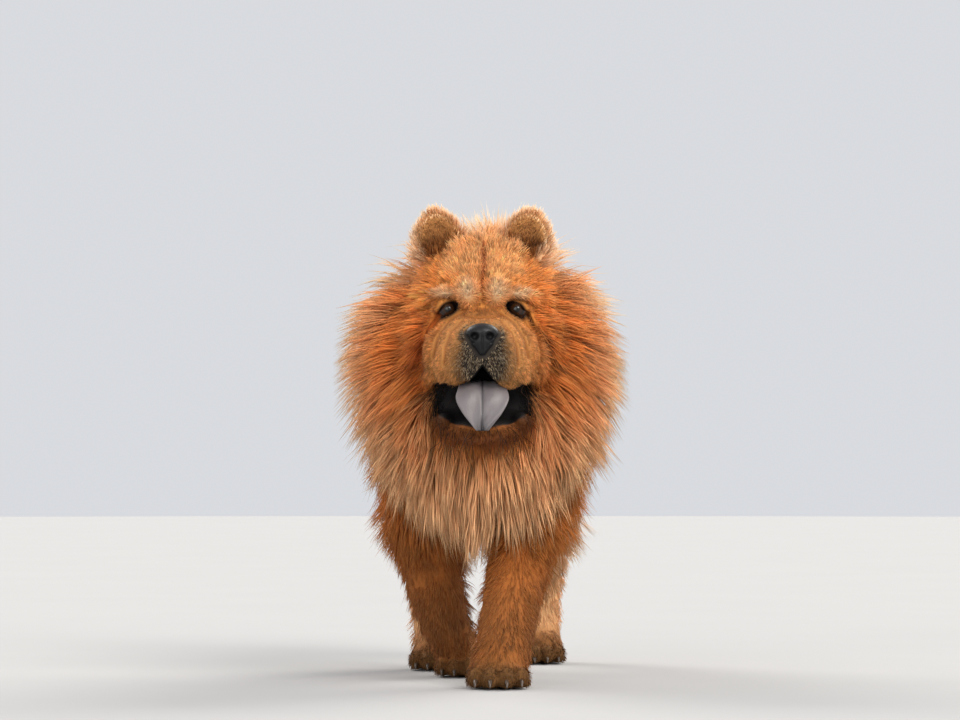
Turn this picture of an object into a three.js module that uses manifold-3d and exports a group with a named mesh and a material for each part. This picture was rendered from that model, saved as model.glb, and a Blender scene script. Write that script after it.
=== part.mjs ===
// A life-size chow chow, walking, with its mouth open and its tongue out.
// Millimetres. +X is the dog's left, -Y the way it faces, +Z up, and the paws stand on Z = 0.
import * as THREE from "three";
import { mergeVertices } from "three/addons/utils/BufferGeometryUtils.js";
import Module from "manifold-3d";

const wasm = await Module();
wasm.setup();

// Driving dimensions
const GAP = 0.4;
const EYE = { x: 44.5, y: -296, z: 494, radius: 12.5 };
const NOSE = { y: -375, z: 456, halfWidth: 21, halfHeight: 16 };
const LID_SLANT = 0.56;
const EAR = { x: 58, y: -224, z: 588, half: 37, thick: 17, tall: 45, slant: 0.14, nod: 0.16 };
const MOUTH_TOP = 417;
const LIP_LOW = 386;
const FORE_CUT = 205;
const HIND_CUT = 262;
const PAW_TOP = 34;
const SEED = 20817;

// Colours from the photograph
const RED_COAT = 0xb8662e;
const GOLD_COAT = 0xc98d55;
const CREAM_COAT = 0xdcc19c;
const FACE_COAT = 0xc4773f;
const BLACK_SKIN = 0x1c1b20;
const TONGUE_GREY = 0x8f8a99;
const EYE_BROWN = 0x24140e;

let randomState = SEED;
function random() {
  randomState = (Math.imul(randomState, 1664525) + 1013904223) >>> 0;
  return randomState / 4294967296;
}
const around = (share) => 1 + share * (2 * random() - 1);
const degrees = (angle) => (angle * Math.PI) / 180;
const vec = (x, y, z) => new THREE.Vector3(x, y, z);

function solid(geometry, matrix) {
  const bare = new THREE.BufferGeometry();
  bare.setAttribute("position", geometry.getAttribute("position").clone());
  if (geometry.index) bare.setIndex(geometry.index);
  if (matrix) bare.applyMatrix4(matrix);
  const merged = mergeVertices(bare, 1e-3);
  return new wasm.Manifold(
    new wasm.Mesh({
      numProp: 3,
      vertProperties: merged.attributes.position.array,
      triVerts: new Uint32Array(merged.index.array),
    }),
  );
}

// A body that has forgotten what it was made from, so that later cuts stay quick
const settled = (body) => body.asOriginal();
const unite = (solids) => settled(solids.reduce((all, one) => all.add(one)));

function largest(whole) {
  return whole.decompose().reduce((a, b) => (b.volume() > a.volume() ? b : a));
}

// A value at a place t along a list, on a smooth curve through the list's numbers
function spline(values, t) {
  const i = Math.min(Math.floor(t), values.length - 2);
  const f = t - i;
  const before = values[Math.max(i - 1, 0)];
  const after = values[Math.min(i + 2, values.length - 1)];
  const a = values[i];
  const b = values[i + 1];
  const m0 = (b - before) / 2;
  const m1 = (after - a) / 2;
  const f2 = f * f;
  const f3 = f2 * f;
  return (2 * f3 - 3 * f2 + 1) * a + (f3 - 2 * f2 + f) * m0 + (3 * f2 - 2 * f3) * b + (f3 - f2) * m1;
}

// A body of oval rings round a spine that bends in the plane of Y and Z.
// A station is [x, y, z, half width, radius on the upper side, radius on the lower side];
// the upper side is above a spine that runs to the back, and in front of one that runs up.
class Tube {
  constructor(stations, firstCap, lastCap) {
    this.stations = stations;
    this.last = stations.length - 1;
    this.caps = [firstCap, lastCap];
  }
  value(column, t) {
    return spline(this.stations.map((s) => s[column]), t);
  }
  centre(t) {
    return vec(this.value(0, t), this.value(1, t), this.value(2, t));
  }
  along(t) {
    const step = 0.02;
    const a = this.centre(Math.max(t - step, 0));
    return this.centre(Math.min(t + step, this.last)).sub(a).setX(0).normalize();
  }
  point(t, angle, grow = 0, shrink = 1) {
    const along = this.along(t);
    const up = vec(0, -along.z, along.y);
    const rise = Math.sin(angle);
    const radius = this.value(rise > 0 ? 4 : 5, t) * shrink + grow;
    const half = this.value(3, t) * shrink + grow;
    return this.centre(t).add(up.multiplyScalar(rise * radius)).add(vec(Math.cos(angle) * half, 0, 0));
  }
  normal(t, angle) {
    const step = 0.03;
    const low = Math.max(t - step, 0);
    const high = Math.min(t + step, this.last);
    const alongSkin = this.point(high, angle).sub(this.point(low, angle));
    const roundSkin = this.point(t, angle + step).sub(this.point(t, angle - step));
    const out = roundSkin.cross(alongSkin).normalize();
    const outward = this.point(t, angle).sub(this.centre(t));
    return out.dot(outward) < 0 ? out.negate() : out;
  }
  body(steps, sides, grow = 0) {
    const rows = [];
    const addRow = (t, push, shrink) => {
      const shift = this.along(t).multiplyScalar(push);
      const row = [];
      for (let j = 0; j < sides; j++) {
        row.push(this.point(t, (2 * Math.PI * j) / sides, grow * shrink, shrink).add(shift));
      }
      rows.push(row);
    };
    const [first, last] = this.caps;
    addRow(0, -(first + grow) * 0.75, 0.66);
    for (let i = 0; i <= steps; i++) addRow((this.last * i) / steps, 0, 1);
    addRow(this.last, (last + grow) * 0.75, 0.66);
    const start = this.centre(0).add(this.along(0).multiplyScalar(-first - grow));
    const end = this.centre(this.last).add(this.along(this.last).multiplyScalar(last + grow));
    return solid(skinOf(rows, start, end));
  }
}

// A closed skin over rows of points, with a point at each end
function skinOf(rows, start, end) {
  const sides = rows[0].length;
  const points = [start, ...rows.flat(), end];
  const index = [];
  const at = (i, j) => 1 + i * sides + (j % sides);
  for (let j = 0; j < sides; j++) {
    index.push(0, at(0, j), at(0, j + 1));
    for (let i = 0; i + 1 < rows.length; i++) {
      index.push(at(i, j), at(i + 1, j), at(i + 1, j + 1), at(i, j), at(i + 1, j + 1), at(i, j + 1));
    }
    index.push(points.length - 1, at(rows.length - 1, j + 1), at(rows.length - 1, j));
  }
  const geometry = new THREE.BufferGeometry().setFromPoints(points).setIndex(index);
  return facingOut(geometry);
}

function facingOut(geometry) {
  const p = geometry.attributes.position;
  const corners = [vec(0, 0, 0), vec(0, 0, 0), vec(0, 0, 0)];
  const index = Array.from(geometry.index.array);
  let volume = 0;
  for (let i = 0; i < index.length; i += 3) {
    corners.forEach((c, k) => c.fromBufferAttribute(p, index[i + k]));
    volume += corners[0].dot(corners[1].clone().cross(corners[2]));
  }
  return volume < 0 ? geometry.setIndex(index.reverse()) : geometry;
}

function placed(at, size, turn = [0, 0, 0]) {
  const rotation = new THREE.Quaternion().setFromEuler(new THREE.Euler(...turn, "ZYX"));
  return new THREE.Matrix4().compose(vec(...at), rotation, vec(...size));
}

function ball(at, radii, turn, fine = 16) {
  return solid(new THREE.SphereGeometry(1, fine, Math.round(fine * 0.7)), placed(at, radii, turn));
}

function cord(points, radius, steps = 12, sides = 6) {
  const curve = new THREE.CatmullRomCurve3(points.map((p) => vec(...p)));
  const shape = new THREE.Shape().absarc(0, 0, radius, 0, 2 * Math.PI);
  const options = { steps, curveSegments: sides, extrudePath: curve, bevelEnabled: false };
  return solid(new THREE.ExtrudeGeometry(shape, options));
}

// All of space on one side of a plane
const FAR = 2000;
function halfSpace(point, normal) {
  const way = vec(...normal).normalize();
  const turn = new THREE.Quaternion().setFromUnitVectors(vec(0, 0, 1), way);
  const centre = vec(...point).addScaledVector(way, FAR / 2);
  return solid(new THREE.BoxGeometry(FAR, FAR, FAR), new THREE.Matrix4().compose(centre, turn, vec(1, 1, 1)));
}
const above = (z) => halfSpace([0, 0, z], [0, 0, 1]);
const below = (z) => halfSpace([0, 0, z], [0, 0, -1]);
const ABOVE_FLOOR = above(0);

// The planes that part the head from the neck and the neck from the body.
// Each has a point and the direction in which the dog's front lies.
const HEAD_CUT = { point: [0, -206, 460], front: [0, -0.94, 0.34] };
const NECK_CUT = { point: [0, -160, 396], front: [0, -0.66, 0.75] };
function sideOf({ point, front }, way, grow = 0) {
  const shift = way * (GAP / 2 - grow);
  const at = vec(...point).addScaledVector(vec(...front).normalize(), shift);
  return halfSpace([at.x, at.y, at.z], front.map((value) => value * way));
}

// One flat, tapered lock of coat, with a ridge along its outer side. It leaves the skin at
// a lift angle, bends towards its lay angle and ends in a point.
const LOCK_ROWS = [
  { s: 0, wide: 0.6, thick: 1 },
  { s: 0.38, wide: 1, thick: 0.95 },
  { s: 0.74, wide: 0.62, thick: 0.6 },
];
function lock({ root, normal, lie, length, width, thick, lift, lay, droop = 0 }, grow = 0) {
  const flat = lie.clone().addScaledVector(normal, -lie.dot(normal)).normalize();
  const side = flat.clone().cross(normal).normalize();
  const path = (s) => {
    const p = root.clone();
    const slices = 8;
    for (let k = 0; k < slices; k++) {
      const f = (s * (k + 0.5)) / slices;
      const angle = lift + (lay - lift) * f;
      const step = (length * s) / slices;
      p.addScaledVector(flat, Math.cos(angle) * step).addScaledVector(normal, Math.sin(angle) * step);
      p.z -= droop * f * step;
    }
    return p;
  };
  const rows = LOCK_ROWS.map(({ s, wide, thick: share }) => {
    const centre = path(s);
    const ahead = path(s + 0.05).sub(centre).normalize();
    const over = side.clone().cross(ahead).normalize();
    const w = (width / 2) * wide + grow * 1.6;
    const h = thick * share;
    return [
      centre.clone().addScaledVector(side, w).addScaledVector(over, -grow),
      centre.clone().addScaledVector(over, h + grow * 1.6),
      centre.clone().addScaledVector(side, -w).addScaledVector(over, -grow),
    ];
  });
  const tip = path(1);
  const reach = tip.clone().sub(path(0.9)).normalize();
  const heel = path(0.1).sub(root).normalize();
  const start = root.clone().addScaledVector(heel, -grow);
  return solid(skinOf(rows, start, tip.addScaledVector(reach, grow * 4)));
}

// Tiers of locks on a tube: each tier is a place along it, a span of angles, a count and its sizes.
const ROOT_SINK = 0.84;
function tiers(tube, list, flow) {
  const found = [];
  list.forEach(({ t, from, to, count, length, width, thick = 14, lift = 45, lay = 12, droop = 0 }, row) => {
    const full = to - from >= 360;
    for (let k = 0; k < count; k++) {
      const share = full ? (k + (row % 2) / 2) / count : (k + 0.5) / count;
      const angle = degrees(from + (to - from) * share + 4 * (random() - 0.5));
      const centre = tube.centre(t);
      const surface = tube.point(t, angle);
      const sizes = typeof length === "function" ? length(angle) : length;
      found.push({
        root: centre.lerp(surface, ROOT_SINK),
        normal: tube.normal(t, angle),
        lie: flow(surface, angle).add(vec(0.16 * (random() - 0.5), 0.16 * (random() - 0.5), 0)),
        length: sizes * around(0.14),
        width: width * around(0.12),
        thick,
        lift: degrees(lift) * around(0.12),
        lay: degrees(lay),
        droop,
      });
    }
  });
  return found;
}

// Body
const torso = new Tube(
  [
    [0, -236, 318, 94, 96, 82],
    [0, -190, 334, 114, 120, 100],
    [0, -120, 350, 124, 126, 106],
    [0, -50, 358, 124, 122, 106],
    [0, 60, 364, 118, 116, 100],
    [0, 170, 374, 114, 110, 92],
    [0, 248, 384, 102, 96, 84],
    [0, 284, 388, 78, 72, 64],
  ],
  20,
  20,
);
const neck = new Tube(
  [
    [0, -222, 452, 120, 122, 140],
    [0, -184, 438, 142, 146, 168],
    [0, -128, 420, 142, 152, 150],
    [0, -72, 404, 124, 128, 110],
    [0, -20, 392, 100, 96, 90],
  ],
  20,
  20,
);
const tail = new Tube(
  [
    [4, 238, 440, 26, 26, 26],
    [8, 292, 474, 32, 30, 30],
    [12, 316, 530, 36, 34, 32],
    [15, 284, 574, 38, 34, 32],
    [15, 222, 584, 36, 32, 30],
    [13, 160, 572, 30, 26, 26],
    [10, 112, 552, 18, 15, 15],
  ],
  10,
  12,
);

// Legs, each from its paw up
const foreLeft = new Tube(
  [
    [24, -222, 30, 45, 42, 42],
    [30, -206, 70, 46, 44, 46],
    [39, -186, 115, 49, 48, 51],
    [54, -154, 180, 54, 53, 58],
    [70, -128, 250, 58, 58, 64],
    [76, -122, 330, 52, 60, 60],
  ],
  18,
  20,
);
const foreRight = new Tube(
  [
    [-32, 24, 26, 37, 33, 33],
    [-40, 16, 45, 41, 38, 38],
    [-52, 0, 76, 45, 43, 43],
    [-63, -24, 120, 48, 48, 49],
    [-73, -56, 180, 53, 53, 56],
    [-79, -88, 250, 57, 58, 62],
    [-78, -102, 330, 52, 60, 60],
  ],
  12,
  20,
);
const hindLeft = new Tube(
  [
    [86, 352, 28, 37, 38, 31],
    [85, 366, 70, 37, 35, 33],
    [84, 362, 122, 41, 40, 40],
    [82, 312, 182, 48, 50, 48],
    [80, 256, 250, 55, 66, 64],
    [74, 236, 330, 58, 76, 74],
    [62, 228, 410, 52, 70, 66],
  ],
  14,
  20,
);
const hindRight = new Tube(
  [
    [-68, 188, 28, 37, 38, 31],
    [-70, 202, 70, 37, 35, 33],
    [-72, 212, 122, 41, 40, 40],
    [-74, 192, 182, 48, 50, 50],
    [-76, 184, 250, 55, 66, 68],
    [-74, 204, 330, 58, 76, 78],
    [-62, 224, 410, 52, 70, 70],
  ],
  14,
  20,
);

// A paw: a broad pad with four toes, flat where it stands, and a claw at each toe
const TOE_PLACES = [
  { x: -28, y: -26 },
  { x: -10, y: -38 },
  { x: 10, y: -38 },
  { x: 28, y: -26 },
];
function paw(x, y, long, size = 1) {
  const pad = ball([x, y, 16], [40 * size, long * size, 32], [0, 0, 0], 9);
  const toes = TOE_PLACES.map((toe) => {
    const toeX = x + toe.x * size;
    const toeY = y + toe.y * size * (long / 42);
    return ball([toeX, toeY, 13], [12.5 * size, 21 * size, 19], [0, 0, 0], 6);
  });
  const claws = TOE_PLACES.map((toe) => {
    const clawY = y + toe.y * size * (long / 42) - 20 * size;
    return solid(
      new THREE.ConeGeometry(3.4, 17, 4),
      placed([x + toe.x * size, clawY, 8], [1, 1, 1], [2.0, 0, 0]),
    );
  });
  return unite([pad, ...toes, ...claws]).intersect(ABOVE_FLOOR);
}
const paws = {
  forepaw_left: paw(21, -234, 44, 1.06),
  forepaw_right: paw(-29, 14, 34, 0.92),
  hindpaw_left: paw(86, 336, 42, 0.9),
  hindpaw_right: paw(-68, 174, 42, 0.9),
};

// Head: skull, cheeks, brow pads, muzzle and hanging upper lips
const mirror = [-1, 1];
const muzzle = new Tube(
  [
    [0, -373, 434, 44, 36, 38],
    [0, -356, 436, 54, 45, 42],
    [0, -326, 440, 64, 53, 44],
    [0, -280, 448, 74, 60, 46],
  ],
  8,
  10,
);
const SKULL = { at: [0, -236, 506], radii: [90, 88, 93] };
const THROAT = { at: [0, -252, 408], radii: [66, 40, 62] };
const CHEEK = { at: [50, -270, 446], radii: [42, 48, 52] };
const CHEEK_FOLD = { at: [54, -302, 431], radii: [28, 37, 37] };
const BROW_PAD = { at: [29, -301, 520], radii: [23, 16, 17] };
const UPPER_LIP = { at: [34, -342, 421], radii: [29, 36, 33] };
const lump = ({ at: [x, y, z], radii }, grow, fine, side = 0) =>
  ball([side * x, y, z], radii.map((r) => r + grow), [0, 0, 0], fine);
const headShape = (grow = 0) =>
  unite([
    lump(SKULL, grow, 16),
    lump(THROAT, grow, 10),
    muzzle.body(4, 12, grow),
    ...mirror.flatMap((s) => [
      lump(CHEEK, grow, 11, s),
      lump(CHEEK_FOLD, grow, 10, s),
      lump(BROW_PAD, grow, 9, s),
      lump(UPPER_LIP, grow, 11, s),
    ]),
  ]).intersect(sideOf(HEAD_CUT, 1, grow));
const lips = (grow = 0) =>
  mirror.map((s) =>
    cord(
      [
        [0, -373, MOUTH_TOP + 3],
        [s * 14, -371, MOUTH_TOP - 12],
        [s * 32, -360, LIP_LOW + 4],
        [s * 48, -334, LIP_LOW + 6],
        [s * 60, -304, LIP_LOW + 12],
      ],
      4 + grow,
      7,
      2,
    ),
  );
const mouthRoof = (grow = 0) =>
  lump({ at: [0, -352, MOUTH_TOP - 35], radii: [33, 60, 35] }, -grow, 10);
const eyeAt = (s) => [s * EYE.x, EYE.y, EYE.z];
const lids = mirror.map((s) =>
  solid(
    new THREE.TorusGeometry(13, 3, 3, 12),
    placed([s * EYE.x, EYE.y - 14, EYE.z], [1, 0.66, 1.5], [Math.PI / 2, 0, 0]).premultiply(
      new THREE.Matrix4()
        .makeTranslation(s * EYE.x, 0, EYE.z)
        .multiply(new THREE.Matrix4().makeRotationY(s * LID_SLANT))
        .multiply(new THREE.Matrix4().makeTranslation(-s * EYE.x, 0, -EYE.z)),
    ),
  ),
);
const eyeOpenings = mirror.map((s) =>
  ball([s * EYE.x, EYE.y - 20, EYE.z], [12.5, 17, 8], [0, s * LID_SLANT, 0], 10),
);
const eyeBall = (s, grow = 0) => ball(eyeAt(s), Array(3).fill(EYE.radius + grow), [0, 0, 0], 11);

const nosePad = (grow = 0) =>
  unite([
    lump({ at: [0, NOSE.y, NOSE.z], radii: [NOSE.halfWidth, 16, NOSE.halfHeight] }, grow, 12),
    lump({ at: [0, NOSE.y + 3, NOSE.z - 14], radii: [9, 11, 17] }, grow, 7),
  ]);
const nostrils = mirror.map((s) =>
  ball([s * 10.5, NOSE.y - 15, NOSE.z - 3], [5.5, 9, 4.6], [0, s * 0.5, 0], 6),
);

const jaw = new Tube(
  [
    [0, -350, 352, 25, 12, 14],
    [0, -336, 352, 36, 15, 20],
    [0, -305, 352, 50, 18, 26],
    [0, -262, 356, 56, 26, 32],
  ],
  6,
  6,
);
const jawHollow = (grow = 0) => lump({ at: [0, -314, 372], radii: [38, 34, 17] }, -grow, 10);
const lowerLip = (grow = 0) =>
  cord(
    [
      [-52, -300, 374],
      [-46, -318, 368],
      [-26, -344, 362],
      [0, -353, 361],
      [26, -344, 362],
      [46, -318, 368],
      [52, -300, 374],
    ],
    5 + grow,
    9,
    2,
  );
const tongue = new Tube(
  [
    [0, -377, 334, 9, 4, 4],
    [0, -375, 345, 24, 5, 5],
    [0, -369, 362, 33, 6, 6],
    [0, -355, 382, 33, 7, 7],
    [0, -326, 394, 29, 8, 8],
    [0, -284, 388, 25, 9, 9],
  ],
  3,
  8,
);

// An ear: a thick, rounded triangle with a cup in its front
function ear(s, grow = 0) {
  const shape = new THREE.SphereGeometry(1, 14, 9);
  const p = shape.attributes.position;
  for (let i = 0; i < p.count; i++) {
    const rise = p.getZ(i);
    p.setX(i, p.getX(i) * (1 - 0.34 * Math.max(rise, -0.6)));
  }
  const turn = [EAR.nod, s * EAR.slant, 0];
  const size = [EAR.half + grow, EAR.thick + grow, EAR.tall + grow];
  const outer = solid(shape, placed([s * EAR.x, EAR.y, EAR.z], size, turn));
  if (grow) return outer;
  const cup = placed([s * (EAR.x - 1), EAR.y - 17, EAR.z - 4], [EAR.half - 12, EAR.thick - 1, EAR.tall - 13], turn);
  return outer.subtract(solid(shape, cup));
}

// The way that the coat lies
const outOf = (p, amount) => vec(Math.sign(p.x) * Math.min(Math.abs(p.x) / 100, 1) * amount, 0, 0);
const maneFlow = (p, angle) => {
  const rise = Math.sin(angle);
  return vec(0, 0.75 + 0.25 * rise, Math.min(0, rise) * 1.3 - 0.15).add(outOf(p, 0.35));
};
const torsoFlow = (p) => (p.y < -170 ? vec(0, 0.15, -1) : vec(0, 1, p.z < 380 ? -0.75 : -0.12));
const legFlow = () => vec(0, 0.45, -1);
const trouserFlow = () => vec(0, 0.5, -1);
const headFlow = (p) => vec(0, 1, p.z > 540 ? 0.5 : -0.3).add(outOf(p, 0.9));

const longerBelow = (top, bottom) => (angle) => top + (bottom - top) * Math.max(0, -Math.sin(angle));
const maneLocks = tiers(
  neck,
  [
    { t: 0.6, from: -4, to: 356, count: 14, length: longerBelow(82, 100), width: 70, lift: 66, lay: 34 },
    { t: 1.1, from: 0, to: 360, count: 14, length: longerBelow(92, 116), width: 78, lift: 62, lay: 24 },
    { t: 1.75, from: -30, to: 210, count: 11, length: 104, width: 84, lift: 56, lay: 14 },
    { t: 2.5, from: -16, to: 196, count: 8, length: 112, width: 90, lift: 50, lay: 8 },
  ],
  maneFlow,
);
const torsoLocks = tiers(
  torso,
  [
    { t: 0.35, from: 204, to: 336, count: 5, length: 122, width: 70, lift: 50, lay: 6, droop: 0.1 },
    { t: 1.2, from: 190, to: 350, count: 5, length: 108, width: 84, lift: 48, lay: 8 },
    { t: 2.3, from: 184, to: 356, count: 5, length: 104, width: 92, lift: 46, lay: 8 },
    { t: 2.95, from: -6, to: 186, count: 6, length: 108, width: 88, lift: 50, lay: 12 },
    { t: 3.4, from: 184, to: 356, count: 5, length: 100, width: 90, lift: 46, lay: 8 },
    { t: 3.95, from: -14, to: 194, count: 5, length: 104, width: 96, lift: 48, lay: 12 },
    { t: 4.75, from: -24, to: 204, count: 5, length: 100, width: 98, lift: 48, lay: 12 },
    { t: 5.7, from: -20, to: 200, count: 5, length: 96, width: 90, lift: 48, lay: 10 },
    { t: 6.5, from: -10, to: 190, count: 4, length: 80, width: 80, lift: 50, lay: 10 },
  ],
  torsoFlow,
);
const trousers = (leg) =>
  tiers(
    leg,
    [
      { t: 5.3, from: 180, to: 360, count: 4, length: 112, width: 70, lift: 46, lay: 8 },
      { t: 4.3, from: 185, to: 355, count: 4, length: 100, width: 64, lift: 44, lay: 4 },
    ],
    trouserFlow,
  );
const foreFeather = (leg, low, high) =>
  tiers(
    leg,
    [
      { t: high, from: 225, to: 315, count: 2, length: 80, width: 42, thick: 10, lift: 34, lay: -4 },
      { t: low, from: 260, to: 280, count: 1, length: 70, width: 40, thick: 9, lift: 32, lay: -4 },
    ],
    legFlow,
  );
const tailLocks = (from, to, rows) => {
  const found = [];
  for (let k = 0; k < rows; k++) {
    const t = from + ((to - from) * (k + 0.5)) / rows;
    const tier = { t, from: 0, to: 360, count: 4, length: 88, width: 70, lift: 44, lay: 8 };
    found.push(...tiers(tail, [tier], () => tail.along(t)));
  }
  return found;
};
const cheek = new Tube(
  [
    [0, -292, 470, 78, 88, 62],
    [0, -268, 474, 88, 100, 76],
    [0, -240, 476, 92, 110, 86],
  ],
  10,
  10,
);
const cheekLocks = tiers(
  cheek,
  [
    { t: 0.6, from: -30, to: 24, count: 2, length: 60, width: 58, thick: 10, lift: 42, lay: 12 },
    { t: 0.6, from: 156, to: 210, count: 2, length: 60, width: 58, thick: 10, lift: 42, lay: 12 },
    { t: 1.7, from: -34, to: 34, count: 2, length: 66, width: 62, thick: 11, lift: 48, lay: 18 },
    { t: 1.7, from: 146, to: 214, count: 2, length: 66, width: 62, thick: 11, lift: 48, lay: 18 },
  ],
  headFlow,
);

// Each leg is modelled whole and parted with thin cuts.
function parted(tube, cut, steps, grow = 0) {
  const whole = tube.body(steps, 12, grow);
  return {
    upper: whole.intersect(above(cut + GAP / 2 - grow)),
    lower: whole.intersect(below(cut - GAP / 2 + grow)).intersect(above(PAW_TOP + GAP / 2 - grow)),
  };
}
// The tail is parted where it turns from rising to running forward.
const TAIL_BEND = { y: 250, z: 510 };
const tailWhole = (grow = 0) => tail.body(11, 9, grow);
const tailSide = (way, grow) => {
  const off = (GAP / 2) * Math.SQRT1_2 - grow * Math.SQRT1_2;
  return halfSpace([0, TAIL_BEND.y - way * off, TAIL_BEND.z + way * off], [0, -way, way]);
};
const tailBase = (grow = 0) => tailWhole(grow).intersect(tailSide(-1, grow));
const tailTip = (grow = 0) => tailWhole(grow).intersect(tailSide(1, grow));

// Every lump of flesh with its core, the same core grown by the gap, and its locks
const CLEAR = 0.3;
const flesh = {};
function addFlesh(name, core, grown, locks, colour) {
  const lumps = locks.map((l) => lock(l));
  const grownLocks = locks.map((l) => lock(l, CLEAR));
  flesh[name] = {
    core: settled(core),
    grown: settled(grown),
    locks: lumps.length ? settled(unite(lumps).intersect(ABOVE_FLOOR)) : null,
    grownLocks: grownLocks.length ? unite(grownLocks) : null,
    colour,
  };
}

const eyes = { eye_left: eyeBall(1), eye_right: eyeBall(-1) };
const headMade = (grow = 0) => unite([headShape(grow), ...lips(grow)]).subtract(mouthRoof(grow));
const headCore = unite([headMade(), ...lids])
  .subtract(unite([...eyeOpenings, eyeBall(1, CLEAR), eyeBall(-1, CLEAR)]))
  .subtract(nosePad(CLEAR));
addFlesh("head", headCore, headMade(CLEAR), cheekLocks, FACE_COAT);
addFlesh("ear_left", ear(1), ear(1, CLEAR), [], FACE_COAT);
addFlesh("ear_right", ear(-1), ear(-1, CLEAR), [], FACE_COAT);
const jawMade = (grow = 0) => unite([jaw.body(4, 10, grow), lowerLip(grow)]).subtract(jawHollow(grow));
addFlesh("jaw", jawMade(), jawMade(CLEAR), [], BLACK_SKIN);
addFlesh("tongue", tongue.body(8, 10), tongue.body(8, 10, CLEAR), [], TONGUE_GREY);
const torsoCore = (grow = 0) => torso.body(10, 18, grow).intersect(sideOf(NECK_CUT, -1, grow));
const neckCore = (grow = 0) =>
  neck.body(7, 20, grow).intersect(sideOf(NECK_CUT, 1, grow)).intersect(sideOf(HEAD_CUT, -1, grow));
addFlesh("torso", torsoCore(), torsoCore(CLEAR), torsoLocks, RED_COAT);
addFlesh("neck", neckCore(), neckCore(CLEAR), maneLocks, GOLD_COAT);

const LEGS = {
  foreleg_left: { tube: foreLeft, cut: FORE_CUT, upper: [], lower: foreFeather(foreLeft, 2.3, 3.1) },
  foreleg_right: { tube: foreRight, cut: FORE_CUT, upper: [], lower: foreFeather(foreRight, 3.1, 3.9) },
  hindleg_left: { tube: hindLeft, cut: HIND_CUT, upper: trousers(hindLeft), lower: [] },
  hindleg_right: { tube: hindRight, cut: HIND_CUT, upper: trousers(hindRight), lower: [] },
};
for (const [name, { tube, cut, upper, lower }] of Object.entries(LEGS)) {
  const core = parted(tube, cut, 9);
  const grown = parted(tube, cut, 9, CLEAR);
  addFlesh(name + "_upper", core.upper, grown.upper, upper, RED_COAT);
  addFlesh(name + "_lower", core.lower, grown.lower, lower, RED_COAT);
}
for (const [name, body] of Object.entries(paws)) {
  const low = body.intersect(below(PAW_TOP - GAP / 2));
  addFlesh(name, low, low, [], RED_COAT);
}
addFlesh("tail_base", tailBase(), tailBase(CLEAR), tailLocks(0.9, 2.3, 2), CREAM_COAT);
addFlesh("tail_tip", tailTip(), tailTip(CLEAR), tailLocks(2.9, 5.7, 3), CREAM_COAT);

// Where two cores meet, the one named first keeps its shape and the other is cut clear of it.
const ORDER = [
  "head",
  "jaw",
  "tongue",
  "ear_left",
  "ear_right",
  "hindleg_left_upper",
  "hindleg_right_upper",
  "tail_base",
  "tail_tip",
  "torso",
  "neck",
  "foreleg_left_upper",
  "foreleg_right_upper",
  ...Object.keys(LEGS).map((name) => name + "_lower"),
  ...Object.keys(paws),
];

function separated(name) {
  const own = flesh[name];
  const rank = ORDER.indexOf(name);
  let core = own.core;
  let locks = own.locks;
  ORDER.forEach((other, place) => {
    if (other === name) return;
    const them = flesh[other];
    if (place < rank) core = settled(core.subtract(them.grown));
    if (!locks) return;
    locks = settled(locks.subtract(them.grown));
    if (place < rank && them.grownLocks) locks = settled(locks.subtract(them.grownLocks));
  });
  return largest(locks ? core.add(locks) : core);
}

const solids = {};
for (const name of ORDER) {
  const others = Object.values(solids).map(({ body }) => body);
  const body = others.reduce((rest, other) => settled(rest.subtract(other)), separated(name));
  solids[name] = { body: largest(body), colour: flesh[name].colour };
}
solids.eye_left = { body: eyes.eye_left, colour: EYE_BROWN };
solids.eye_right = { body: eyes.eye_right, colour: EYE_BROWN };
solids.nose = { body: largest(nosePad().subtract(unite(nostrils))), colour: BLACK_SKIN };

// The origin is on the floor, under the middle of the whole dog.
const bounds = new THREE.Box3();
for (const { body } of Object.values(solids)) {
  const { min, max } = body.boundingBox();
  bounds.union(new THREE.Box3(vec(...min), vec(...max)));
}
const middle = bounds.getCenter(vec(0, 0, 0));

const dog = new THREE.Group();
dog.position.set(-middle.x, -middle.y, 0);
for (const [name, { body, colour }] of Object.entries(solids)) {
  const made = body.getMesh();
  const geometry = new THREE.BufferGeometry();
  geometry.setAttribute("position", new THREE.BufferAttribute(new Float32Array(made.vertProperties), 3));
  geometry.setIndex(new THREE.BufferAttribute(made.triVerts, 1));
  const wet = ["nose", "eye_left", "eye_right", "tongue"].includes(name);
  const finish = { color: colour, roughness: wet ? 0.3 : 0.85, metalness: 0 };
  const material = new THREE.MeshStandardMaterial(finish);
  const mesh = new THREE.Mesh(geometry, material);
  mesh.name = name;
  dog.add(mesh);
}

export default dog;
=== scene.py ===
"""A life-size chow chow as a museum model, dressed in skin, fur, eyes, nose, tongue and claws.

Shapes are given in the dog's own millimetres: X to its left, -Y the way it faces, Z up from
the floor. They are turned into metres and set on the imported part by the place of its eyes.
"""

import math

import bmesh
import bpy
import numpy as np
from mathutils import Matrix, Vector
from mathutils.kdtree import KDTree


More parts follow.
